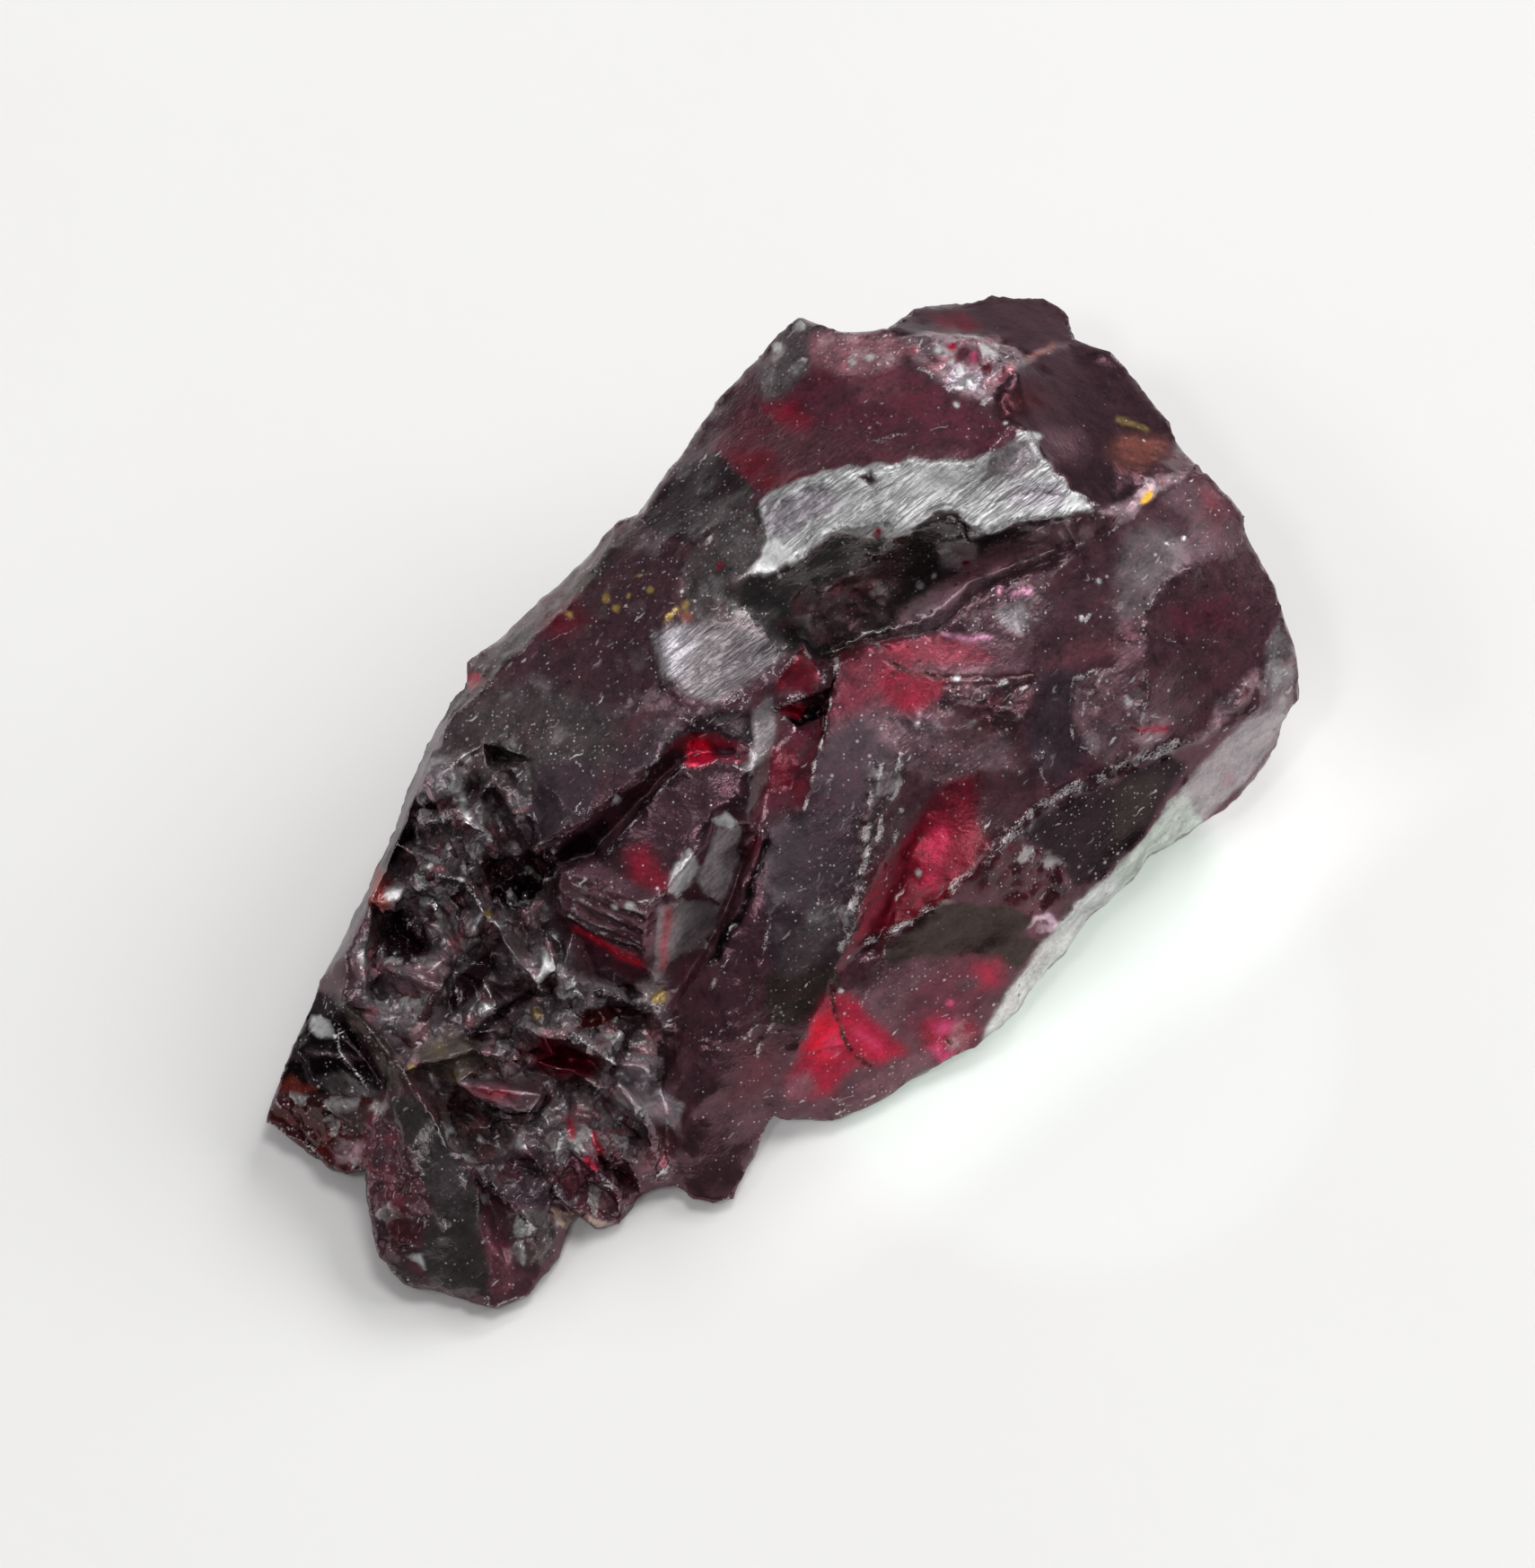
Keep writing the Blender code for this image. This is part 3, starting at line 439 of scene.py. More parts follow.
screen_gamma = 2.2
gloss_veil = 0.012  # what the polish of the stone adds to every tone
skin_gain = 0.30  # how bright white skin shows, where light also sinks in
mirror_gain = 0.50  # and where it doesn't
darkest = 0.005
palest = 0.95


def base_colour(tone, shine):
    """The base colour that shows this tone once the gloss and the room are over it."""
    lit = (np.array(tones[tone]) / 255.0) ** screen_gamma - gloss_veil * (1.0 - shine)
    return np.clip(lit / (skin_gain * (1.0 - shine) + mirror_gain * shine), darkest, palest)


# Everything that is laid on the stone, in order: a later mark covers an earlier one. Places,
# widths and soft edges are in lines of the sheet, and relief is in millimetres.
strokes = []
scratch_soft = 2.5
most_dot_soft = 6.0
ring_corners = 12


def mark(tone, skin, path, soft=4.0, strength=1.0, width=None, relief=0.0):
    """A tone and a skin inside a closed outline or, with a width, along an open path."""
    strokes.append((tone, skin, path, soft, strength, width, relief))


def scratches(width, strength, *paths):
    """Thin rough lines where the skin has flaked, which show pale."""
    for path in paths:
        strokes.append((None, None, path, scratch_soft, strength, width, 0.0))


def dot(tone, skin, u, v, radius, strength=1.0, tall=1.0, lean=0.0):
    """A round or oval spot, tall times as high as it is wide, leaning this many degrees."""
    turn = math.radians(lean)
    ring = [math.tau * step / ring_corners for step in range(ring_corners)]
    path = [
        (
            u + radius * (math.cos(a) * math.cos(turn) - tall * math.sin(a) * math.sin(turn)),
            v + radius * (math.cos(a) * math.sin(turn) + tall * math.sin(a) * math.cos(turn)),
        )
        for a in ring
    ]
    mark(tone, skin, path, soft=min(radius * 0.5, most_dot_soft), strength=strength)


def dots(tone, skin, *spots, strength=1.0):
    """Round spots of one kind, each given by its place and its radius."""
    for spot in spots:
        dot(tone, skin, *spot, strength=strength)


# The broken ground of the crushed end.
mark("ash", "crushed", [
    (470, 850), (560, 840), (600, 880), (585, 935), (620, 945), (610, 1000), (615, 1030),
    (650, 1090), (735, 1100), (745, 1220), (700, 1290), (620, 1330), (560, 1330), (480, 1220),
    (410, 1130), (400, 1060), (435, 960),
], soft=14)

# Around the crest: the lobe behind it, its crumbled top, and the striped face below it.
mark("sloe", "deep", [
    (990, 368), (1015, 345), (1060, 340), (1100, 326), (1165, 328), (1192, 350), (1198, 380),
    (1160, 388), (1130, 402), (1120, 385), (1090, 372), (1060, 368), (1020, 374),
])
mark("wine", "deep", [
    (1040, 352), (1075, 345), (1095, 365), (1070, 372), (1045, 368),
], soft=8, strength=0.7)
mark("mulberry", "glossy", [
    (860, 440), (905, 405), (950, 415), (1005, 408), (1045, 430), (1090, 455), (1110, 470),
    (1138, 480), (1110, 508), (1080, 515), (1000, 512), (940, 517), (900, 536), (860, 550),
    (812, 520), (790, 500), (835, 440),
], soft=6)
mark("slate", "crumbly", [
    (845, 420), (870, 375), (885, 350), (902, 350), (918, 370), (905, 405), (880, 435), (850, 445),
], soft=6)
mark("rose_ash", "crumbly", [
    (905, 372), (992, 370), (1012, 390), (992, 410), (940, 417), (902, 402),
], soft=7)
mark("heather", "crushed", [
    (1002, 374), (1060, 374), (1110, 377), (1138, 395), (1128, 418), (1110, 432), (1105, 450),
    (1080, 442), (1050, 427), (1018, 402),
], soft=5)
# Painted glints on the crumbled top of the crest.
dots(
    "frost", "mirror",
    (1045, 390, 5), (1098, 390, 5), (1070, 412, 5), (1060, 402, 4), (1110, 385, 4), (865, 386, 6),
    (890, 363, 6), (1078, 425, 4), (970, 398, 5), (950, 402, 4),
)
dot("mulberry", "dull", 1072, 394, 9)
dot("mulberry", "dull", 1040, 402, 7, tall=0.7)
dot("wine", "dull", 1100, 410, 6)
dot("hot_rose", "clear", 1084, 398, 5)
dot("ruby", "clear", 1060, 388, 5)
mark("garnet", "clear", [(853, 452), (885, 449), (903, 468), (900, 482), (868, 476)], soft=10)
mark("wine", "clear", [
    (812, 502), (860, 502), (872, 528), (900, 539), (850, 547), (820, 531),
], soft=10)
mark("rosewood", "glossy", [(940, 425), (1000, 418), (1010, 440), (960, 450)], soft=8, strength=0.6)
mark("rosewood", "silky", [
    (865, 470), (940, 470), (1000, 490), (1080, 500), (1080, 514), (1000, 512), (940, 516),
    (900, 535), (860, 500),
], soft=12, strength=0.5)
scratches(1.5, 0.8, [(1055, 480), (1075, 478), (1095, 476)])
scratches(
    1.6, 0.62,
    [(870, 488), (910, 492), (950, 505), (1000, 512), (1060, 512)],
    [(900, 470), (940, 480), (985, 494), (1040, 503), (1085, 506)],
    [(865, 505), (885, 520), (915, 528), (945, 520)], [(875, 515), (905, 512), (935, 512)],
    [(950, 455), (975, 468), (990, 482), (1005, 486)],
    [(905, 455), (930, 462), (950, 472), (980, 490), (1010, 500)],
    [(835, 455), (860, 465), (885, 485), (920, 497)],
)
scratches(1.6, 0.8, [(985, 487), (1010, 484)])
scratches(
    3, 0.8,
    [(1012, 405), (1030, 413), (1048, 426), (1058, 438)], [(880, 418), (885, 405), (898, 400)],
)
scratches(5, 0.8, [(1058, 432), (1085, 432), (1100, 440), (1095, 448)])

# The face right of the crest, with a rust-coloured feather of inclusions under it.
mark("sloe", "deep", [
    (1105, 440), (1125, 415), (1160, 395), (1200, 382), (1235, 385), (1265, 420), (1295, 460),
    (1312, 480), (1305, 510), (1280, 525), (1260, 550), (1245, 565), (1220, 562), (1200, 548),
    (1165, 520), (1150, 490), (1130, 480), (1110, 465),
])
mark("oxblood", "deep", [(1108, 440), (1150, 425), (1165, 450), (1120, 468)], soft=14, strength=0.6)
mark("rust", "dull", [(1145, 398), (1160, 392), (1175, 383)], strength=0.6, width=2)
mark("rust", "dull", [
    (1235, 502), (1250, 485), (1295, 489), (1302, 505), (1270, 522), (1245, 517),
], soft=13, strength=0.28)
for path in ([(1245, 495), (1290, 500)], [(1250, 508), (1285, 512)], [(1255, 488), (1298, 495)]):
    mark("rust", "deep", path, soft=3, strength=0.6, width=1.5)
mark("gold", "dull", [(1247, 466), (1262, 472), (1277, 480)], soft=3, strength=0.6, width=1.5)
mark("heather", "crumbly", [
    (1222, 570), (1250, 562), (1275, 538), (1300, 528), (1325, 524), (1312, 536), (1287, 550),
    (1264, 575), (1245, 586),
], soft=3)
dot("amber", "mirror", 1276, 554, 5, tall=1.8, lean=25)
mark("plum", "glossy", [(1160, 485), (1200, 480), (1212, 508), (1172, 520)], soft=14, strength=0.7)
# Painted glints.
dots("pearl", "mirror", (1120, 472, 3), (1065, 450, 4), (1155, 487, 5))
scratches(
    2, 0.8,
    [(1138, 482), (1150, 500), (1160, 518), (1180, 533), (1200, 548), (1218, 562), (1245, 568)],
)

# The silky band across the top of the scar: layered and wrinkled, pale from its silky skin and
# from painted sheen, with painted white highlights where it faces the lamp.
mark("pearl", "silky", [
    (846, 560), (870, 545), (900, 531), (940, 521), (985, 517), (1030, 513), (1080, 515),
    (1110, 505), (1125, 495), (1135, 482), (1145, 482), (1160, 510), (1175, 530), (1200, 550),
    (1217, 568), (1190, 573), (1150, 577), (1110, 592), (1078, 602), (1082, 590), (1066, 574),
    (1040, 570), (1012, 597), (990, 602), (960, 597), (925, 600), (905, 613), (885, 632),
    (850, 610),
], soft=3, relief=0.01)
mark("silver", "silky", [
    (850, 562), (880, 548), (925, 545), (940, 560), (900, 585), (865, 600), (850, 592),
], soft=6)
mark("white", "silky", [
    (1000, 520), (1080, 518), (1110, 528), (1095, 545), (1050, 555), (1010, 550), (985, 535),
], soft=9)
mark("white", "mirror", [(1020, 522), (1062, 518), (1080, 535), (1055, 550), (1020, 545)], soft=12)
mark("ash", "dull", [
    (1093, 520), (1110, 506), (1130, 488), (1146, 490), (1156, 518), (1130, 535), (1105, 531),
], soft=5)
mark("silver", "silky", [(1110, 545), (1160, 532), (1190, 548), (1180, 568), (1130, 568)], soft=8)
mark("frost", "mirror", [(1184, 570), (1188, 552), (1200, 548), (1218, 569)])
mark("pearl", "silky", [
    (1075, 600), (1092, 580), (1150, 566), (1192, 571), (1150, 580), (1112, 593),
])
# The brightest painted highlight on the band.
mark("white", "mirror", [
    (833, 640), (848, 617), (846, 606), (862, 600), (880, 613), (888, 627), (860, 638), (850, 643),
], soft=3, relief=0.02)
mark("dusk", "dull", [(956, 535), (966, 526), (974, 534), (968, 545)], soft=3, relief=-0.02)
mark("pearl", "silky", [
    (890, 600), (905, 580), (940, 568), (1000, 565), (1045, 562), (1015, 590), (960, 592),
    (925, 598), (903, 610),
], soft=5)
# Dark lines painted along the grooves in the band, as the shade in them.
for path in (
    [(850, 590), (880, 578), (905, 562), (930, 552)],
    [(856, 602), (885, 590), (908, 575), (925, 568)],
    [(870, 560), (890, 552), (915, 545)],
    [(1075, 578), (1060, 565), (1035, 570), (1012, 582)],
    [(1110, 560), (1150, 548), (1190, 556)],
    [(915, 575), (900, 600), (888, 622)],
    [(930, 585), (965, 582), (1000, 572)],
    [(925, 592), (960, 590), (990, 586)],
):
    mark("dusk", "dull", path, soft=2.5, strength=0.75, width=1.2, relief=-0.02)

# The deep scar under the band, almost black, with crumbs left in it.
mark("smoke", "dark_glossy", [
    (846, 560), (852, 600), (832, 640), (850, 645), (888, 630), (925, 602), (960, 598), (990, 603),
    (1012, 598), (1040, 572), (1066, 576), (1080, 592), (1075, 603), (1110, 594), (1190, 574),
    (1196, 600), (1165, 622), (1120, 645), (1085, 660), (1058, 690), (1045, 704), (985, 714),
    (940, 724), (926, 738), (912, 732), (895, 716), (868, 735), (850, 700), (820, 692), (790, 690),
    (764, 688), (760, 640), (776, 602), (815, 578),
], soft=3)
mark("smoke", "crumbly", [
    (835, 560), (852, 600), (830, 640), (820, 685), (795, 698), (765, 688), (760, 640), (778, 600),
    (815, 578),
], soft=5)
mark("pearl", "crumbly", [
    (1045, 606), (1062, 600), (1084, 606), (1090, 622), (1070, 634), (1050, 630),
], soft=6, strength=0.9)
mark("heather", "dull", [
    (1060, 645), (1100, 610), (1190, 580), (1195, 600), (1150, 625), (1100, 645), (1060, 680),
    (1000, 700), (1000, 680),
], soft=6)
mark("maroon", "dull", [(1196, 577), (1246, 572), (1240, 590), (1205, 606)], soft=3)
# A crack painted near-black, as the shade in it.
mark("coal", "dark_glossy", [(1062, 578), (1074, 590), (1078, 604)], soft=2, width=1.5, relief=-0.03)
# Painted glints among the crumbs.
dots(
    "frost", "mirror",
    (905, 677, 4), (922, 665, 3), (1040, 643, 3), (948, 640, 2), (870, 640, 2), (1025, 652, 4),
)
dots("garnet", "clear", (977, 594, 5), (1076, 627, 4), (801, 630, 3), (1060, 664, 2))
mark("slate", "crushed", [
    (880, 655), (960, 640), (1000, 655), (980, 690), (910, 700), (880, 690),
], soft=10, strength=0.7)
scratches(1.5, 0.8, [(1040, 583), (1058, 581), (1070, 590), (1076, 603)])
scratches(1.6, 0.8, [(958, 632), (975, 615)])
scratches(2.5, 0.8, [(1187, 580), (1193, 592), (1196, 604)])

# The dull corner left of the band and the wide faces down the left side.
mark("char", "dull", [
    (710, 577), (735, 545), (760, 515), (800, 506), (822, 525), (842, 548), (815, 577), (790, 592),
    (765, 605), (735, 600),
])
mark("smoke", "dull", [
    (790, 560), (835, 545), (840, 550), (812, 576), (790, 590), (765, 600), (770, 580),
], soft=6)
mark("maroon", "dull", [
    (690, 590), (712, 578), (740, 602), (762, 612), (758, 660), (748, 690), (727, 706), (738, 750),
    (740, 770), (700, 800), (660, 860), (600, 850), (560, 900), (500, 830), (560, 752), (610, 715),
    (640, 700), (600, 690), (650, 640),
])
mark("smoke", "crumbly", [
    (500, 800), (560, 762), (620, 765), (680, 790), (690, 850), (600, 890), (520, 880), (480, 850),
], soft=16, strength=0.85)
mark("maroon", "dull", [
    (640, 700), (690, 695), (727, 706), (735, 750), (690, 790), (640, 770), (600, 740),
], soft=10, strength=0.6)
mark("umber", "crumbly", [
    (470, 815), (520, 745), (590, 693), (640, 650), (700, 590), (712, 576), (690, 612), (655, 655),
    (600, 700), (555, 748), (500, 800),
], soft=5)
mark("wine", "clear", [(597, 693), (640, 668), (655, 690), (620, 716)], soft=14.4, strength=0.8)
dot("garnet", "clear", 527, 758, 9)
dots(
    "gold", "dull",
    (676, 668, 5), (688, 678, 4), (699, 664, 3), (725, 657, 4), (636, 684, 4), (746, 688, 5),
    (765, 673, 4), (754, 680, 4), (784, 734, 3), (712, 642, 2), strength=0.9,
)
dot("rust", "dull", 765, 686, 6, strength=0.7)
scratches(
    1.3, 0.8,
    [(500, 808), (530, 778), (560, 752), (610, 716), (642, 700)],
    [(700, 573), (712, 577), (725, 590), (737, 611)], [(659, 607), (664, 615), (667, 627)],
    [(575, 790), (582, 805), (584, 815)], [(610, 800), (614, 820)],
    [(640, 640), (655, 636), (668, 634)], [(690, 645), (720, 642), (740, 645)],
)
scratches(1.6, 0.8, [(842, 549), (815, 578), (776, 600)])

# The silver patch below the scar, finely wrinkled, pale from its silky skin and from painted
# sheen, and the hackles that run down from it.
mark("pewter", "silky", [
    (727, 706), (760, 696), (790, 690), (850, 702), (880, 720), (866, 738), (848, 748), (820, 768),
    (790, 784), (762, 772), (738, 752),
], soft=8)
mark("silver", "silky", [(729, 706), (775, 698), (778, 728), (748, 758), (736, 748)], soft=6)
mark("ash", "silky", [
    (830, 706), (868, 720), (850, 745), (800, 775), (800, 745),
], soft=9, strength=0.8)
mark("dusk", "dull", [
    (720, 800), (760, 800), (765, 825), (735, 850), (700, 870), (690, 850),
], soft=8, strength=0.7)
scratches(
    1.8, 0.7,
    [(740, 765), (715, 785), (698, 812)], [(755, 772), (735, 800), (705, 830)],
    [(770, 785), (750, 805), (715, 840)], [(742, 758), (722, 770), (700, 775)],
    [(868, 742), (840, 765), (810, 785), (780, 800)], [(850, 755), (820, 775), (790, 788)],
    [(868, 750), (830, 775), (790, 795)],
)
scratches(2, 0.8, [(759, 803), (776, 803)])

# The tooth, the slit window under the ledge, red painted bright as light glowing through it,
# with the shade under the ledge painted near-black, and the lilac strip.
mark("wine", "clear", [(895, 720), (870, 755), (862, 766), (905, 776), (914, 757), (906, 736)])
mark("ruby", "clear", [(870, 792), (890, 783), (906, 790), (890, 801)], soft=5)
mark("coal", "dark_glossy", [(880, 801), (926, 779), (921, 797), (885, 807)], soft=3, relief=-0.05)
mark("char", "dull", [
    (765, 818), (770, 800), (800, 790), (830, 790), (850, 800), (852, 832), (830, 828), (800, 815),
])
# Red painted bright as light glowing through, over the red seen through the stone.
mark("ruby", "clear", [
    (762, 850), (766, 832), (772, 823), (800, 820), (830, 835), (826, 850), (800, 847), (772, 860),
])
mark("mulberry", "clear", [(786, 822), (832, 834), (828, 850), (800, 846)], soft=6)
mark("pewter", "satin", [
    (838, 792), (860, 773), (867, 800), (858, 850), (842, 895), (832, 905), (826, 865), (836, 832),
], soft=3)
scratches(
    1.6, 0.85,
    [(895, 720), (876, 745), (862, 766)], [(895, 720), (907, 737), (914, 757)],
    [(914, 757), (926, 740), (935, 728)], [(880, 778), (925, 775)],
)

# The upper plate: clear red at its head, painted brighter as light glowing through, grey and
# crumbly down its right side.
mark("plum", "clear", [
    (935, 728), (965, 714), (1050, 705), (1120, 712), (1150, 745), (1150, 800), (1130, 830),
    (1060, 790), (1030, 830), (1000, 850), (905, 872), (918, 808),
], soft=6.4)
mark("garnet", "clear", [
    (938, 730), (968, 716), (1012, 712), (1015, 735), (1000, 765), (960, 790), (930, 800),
    (920, 800),
], soft=12.8, strength=0.5)
mark("ruby", "clear", [
    (980, 718), (1050, 707), (1080, 716), (1110, 735), (1060, 742), (1010, 738),
], soft=9, strength=0.35)
mark("garnet", "clear", [
    (980, 742), (1010, 748), (1055, 757), (1052, 772), (1035, 788), (1010, 796), (985, 785),
], soft=10)
# A painted pink highlight along the plate's top edge.
mark("pink", "clear", [(1052, 706), (1075, 712), (1104, 711)], soft=2.5, width=2.5)
mark("maroon", "crushed", [
    (1055, 766), (1110, 760), (1152, 758), (1145, 800), (1130, 832), (1100, 820), (1080, 790),
    (1040, 790),
], soft=7)
mark("mauve", "crumbly", [
    (1015, 805), (1060, 790), (1130, 830), (1140, 870), (1080, 880), (1030, 870), (1008, 850),
], soft=9)
mark("mauve", "crumbly", [
    (960, 800), (1010, 800), (1020, 850), (985, 870), (960, 850),
], soft=8, strength=0.8)
mark("brown", "dull", [
    (985, 736), (1010, 747), (1055, 756), (1150, 751),
], soft=2, width=1.8, relief=-0.02)
# Painted glints.
dots("white", "mirror", (1066, 757, 4), (1118, 760, 4))
dot("white", "mirror", 1085, 803, 3, tall=0.5)
dot("white", "mirror", 1022, 807, 3)
scratches(1.6, 0.8, [(1060, 759), (1110, 757), (1150, 753)])
scratches(
    1.8, 0.85,
    [
        (940, 724), (985, 714), (1045, 704), (1060, 690), (1085, 665), (1120, 650), (1160, 628),
        (1200, 610), (1235, 595), (1262, 575),
    ],
)
scratches(2.6, 0.95, [(935, 728), (926, 765), (917, 809), (905, 860), (897, 900)])

# Between the plate and the big faces on the right.
mark("maroon", "dull", [
    (1100, 655), (1135, 638), (1190, 610), (1250, 580), (1240, 600), (1200, 620), (1165, 650),
    (1150, 680), (1148, 720), (1140, 740), (1110, 712), (1070, 700), (1065, 688),
], soft=5)
mark("ash", "crumbly", [(1108, 682), (1130, 670), (1148, 688), (1138, 706), (1115, 698)])
# Painted pink highlights.
mark("pink", "clear", [(1128, 662), (1146, 660)], soft=2.5, width=3)
mark("pink", "clear", [(1115, 655), (1112, 662)], soft=2, width=2)
mark("maroon", "glossy", [
    (1165, 650), (1200, 620), (1250, 585), (1245, 610), (1235, 640), (1245, 710), (1165, 747),
    (1152, 700),
])
mark("rosewood", "clear", [
    (1165, 745), (1198, 716), (1246, 710), (1246, 730), (1200, 745),
], soft=12.8, strength=0.8)
mark("dusk", "glossy", [
    (1158, 748), (1200, 742), (1195, 800), (1212, 840), (1180, 872), (1150, 860), (1145, 800),
], soft=8)
mark("slate", "matt", [
    (1250, 600), (1275, 584), (1300, 588), (1322, 605), (1318, 632), (1296, 648), (1281, 672),
    (1266, 692), (1246, 688), (1242, 640),
], soft=12, strength=0.7)
mark("plum", "matt", [
    (1326, 590), (1345, 584), (1372, 606), (1370, 614), (1340, 624), (1318, 632), (1322, 610),
], soft=10, strength=0.6)
mark("plum", "matt", [
    (1290, 560), (1318, 538), (1350, 542), (1385, 595), (1388, 612), (1372, 612), (1330, 598),
    (1322, 572),
], soft=5)
mark("wine", "matt", [
    (1333, 535), (1355, 543), (1367, 570), (1357, 588), (1344, 575),
], soft=14, strength=0.7)
mark("maroon", "glossy", [
    (1283, 682), (1300, 652), (1340, 626), (1388, 614), (1422, 660), (1416, 700), (1402, 722),
    (1280, 716),
], soft=3)
mark("mulberry", "glossy", [
    (1300, 680), (1370, 665), (1385, 700), (1310, 708),
], soft=12, strength=0.7)
mark("maroon", "glossy", [
    (1280, 716), (1405, 721), (1405, 750), (1370, 780), (1350, 812), (1330, 822), (1310, 800),
    (1290, 780), (1274, 760),
], soft=3)
mark("plum", "crumbly", [
    (1246, 688), (1280, 690), (1276, 750), (1270, 795), (1240, 782), (1244, 740),
], soft=6, strength=0.85)
mark("mauve", "crumbly", [
    (1200, 755), (1245, 745), (1270, 790), (1305, 800), (1300, 822), (1240, 860), (1215, 842),
    (1195, 800),
], soft=5)
mark("garnet", "clear", [(1265, 811), (1300, 812)], soft=3, width=3)
# Painted glints.
dots(
    "pearl", "mirror",
    (1300, 605, 2), (1318, 598, 3), (1225, 648, 3), (1255, 782, 5), (1203, 690, 3),
)
scratches(1.2, 0.9, [(1252, 711), (1290, 713), (1320, 714), (1360, 713)])
scratches(1.3, 0.6, [(1278, 682), (1290, 652), (1320, 634), (1345, 624), (1372, 612), (1388, 608)])
scratches(
    1.5, 0.8,
    [(1090, 660), (1086, 680), (1093, 697), (1110, 706), (1125, 708)],
    [(1068, 682), (1064, 700), (1058, 706)],
)
scratches(2, 0.8, [(1282, 708), (1278, 695)])
scratches(
    2.2, 0.9,
    [(1225, 745), (1195, 756), (1190, 800), (1198, 828), (1216, 842)],
    [(1200, 757), (1212, 770), (1208, 778), (1222, 766), (1228, 750), (1255, 745)],
    [(1205, 798), (1210, 785), (1232, 774)], [(1196, 778), (1205, 772)],
    [(1252, 775), (1248, 785), (1256, 790), (1262, 786), (1276, 785)],
    [(1260, 800), (1285, 798), (1306, 804)], [(1160, 835), (1158, 855), (1165, 875)],
    [(1200, 688), (1208, 692), (1214, 685)],
)
scratches(2.5, 0.8, [(1283, 712), (1300, 713)])

# The corner, and the wall that falls to the table on the right, painted pale grey-green as the
# reflection of the bright paper in it.
mark("ash", "crumbly", [
    (1410, 722), (1425, 690), (1442, 720), (1446, 760), (1440, 792), (1420, 792), (1404, 770),
])
mark("mauve", "crushed", [
    (1310, 836), (1345, 822), (1372, 796), (1392, 780), (1405, 750), (1400, 745), (1380, 765),
    (1355, 785), (1345, 815), (1312, 822),
])
mark("pewter", "dull", [
    (1290, 925), (1310, 890), (1340, 850), (1390, 802), (1420, 792), (1440, 792), (1430, 822),
    (1395, 862), (1350, 908), (1320, 925),
], soft=3)
paper_reflection_wall = [
    (1320, 880), (1300, 900), (1270, 940), (1240, 975), (1196, 1008), (1160, 1056), (1122, 1108),
    (1098, 1150), (1092, 1178), (1104, 1182), (1142, 1137), (1182, 1094), (1222, 1057),
    (1262, 1022), (1300, 976), (1345, 930),
]
# The painted reflection of the bright paper, palest in its middle.
mark("sage", "dull", paper_reflection_wall, soft=3)
mark("frost", "dull", paper_reflection_wall[3:14], soft=6, strength=0.8)
dot("heather", "dull", 1370, 868, 7)

# The hollow under the right shoulder, painted near-black as the shade in it, and the jagged line
# above it.
mark("char", "dark_glossy", [
    (1160, 905), (1200, 886), (1250, 868), (1300, 838), (1322, 850), (1290, 905), (1262, 945),
    (1230, 975), (1200, 990), (1180, 962), (1150, 942), (1135, 930),
])
mark("umber", "dark_glossy", [
    (1240, 880), (1290, 860), (1300, 870), (1285, 905), (1255, 945), (1235, 960), (1240, 920),
], soft=7, strength=0.6)
mark("char", "dark_glossy", [(1150, 935), (1185, 900), (1235, 885), (1235, 920), (1200, 950)], soft=8)
mark("sloe", "crushed", [
    (1100, 962), (1135, 935), (1180, 962), (1195, 990), (1175, 1012), (1130, 1006), (1092, 988),
], soft=8, strength=0.9)
mark("maroon", "glossy", [
    (1085, 858), (1150, 860), (1190, 880), (1145, 912), (1105, 942), (1092, 925), (1092, 890),
], soft=6)
jagged_line = [
    (1310, 826), (1280, 842), (1240, 860), (1200, 877), (1170, 890), (1145, 910), (1130, 928),
    (1105, 945), (1085, 960), (1065, 985), (1045, 1005), (1010, 1028), (985, 1040), (960, 1048),
]
mark("char", "crushed", jagged_line, soft=6, strength=0.6, width=8)
mark("blush", "satin", [
    (1140, 1034), (1150, 1024), (1168, 1021), (1175, 1030), (1158, 1036),
], soft=3, width=3)
scratches(4, 0.8, [(1112, 940), (1122, 930), (1128, 925)])
scratches(5.5, 0.7, jagged_line)

# The clear red valley, its bright core painted as light glowing through it, and the long slabs
# left of it.
mark("wine", "clear", [
    (1060, 868), (1092, 860), (1088, 900), (1102, 950), (1072, 982), (1048, 1004), (1010, 1026),
    (960, 1044), (935, 1085), (930, 1075), (950, 1040), (962, 1000), (985, 960), (1003, 935),
    (1030, 900),
], soft=8)
mark("garnet", "clear", [
    (1042, 890), (1072, 884), (1080, 930), (1068, 958), (1042, 982), (1022, 980), (1014, 960),
    (1024, 925),
], soft=16, strength=0.4)
# The bright core: painted glow.
mark("flame", "clear", [
    (1036, 922), (1052, 915), (1057, 938), (1047, 962), (1041, 988), (1029, 984), (1029, 955),
], soft=9)
mark("garnet", "clear", [
    (1050, 890), (1072, 872), (1085, 890), (1070, 905),
], soft=12.8, strength=0.35)
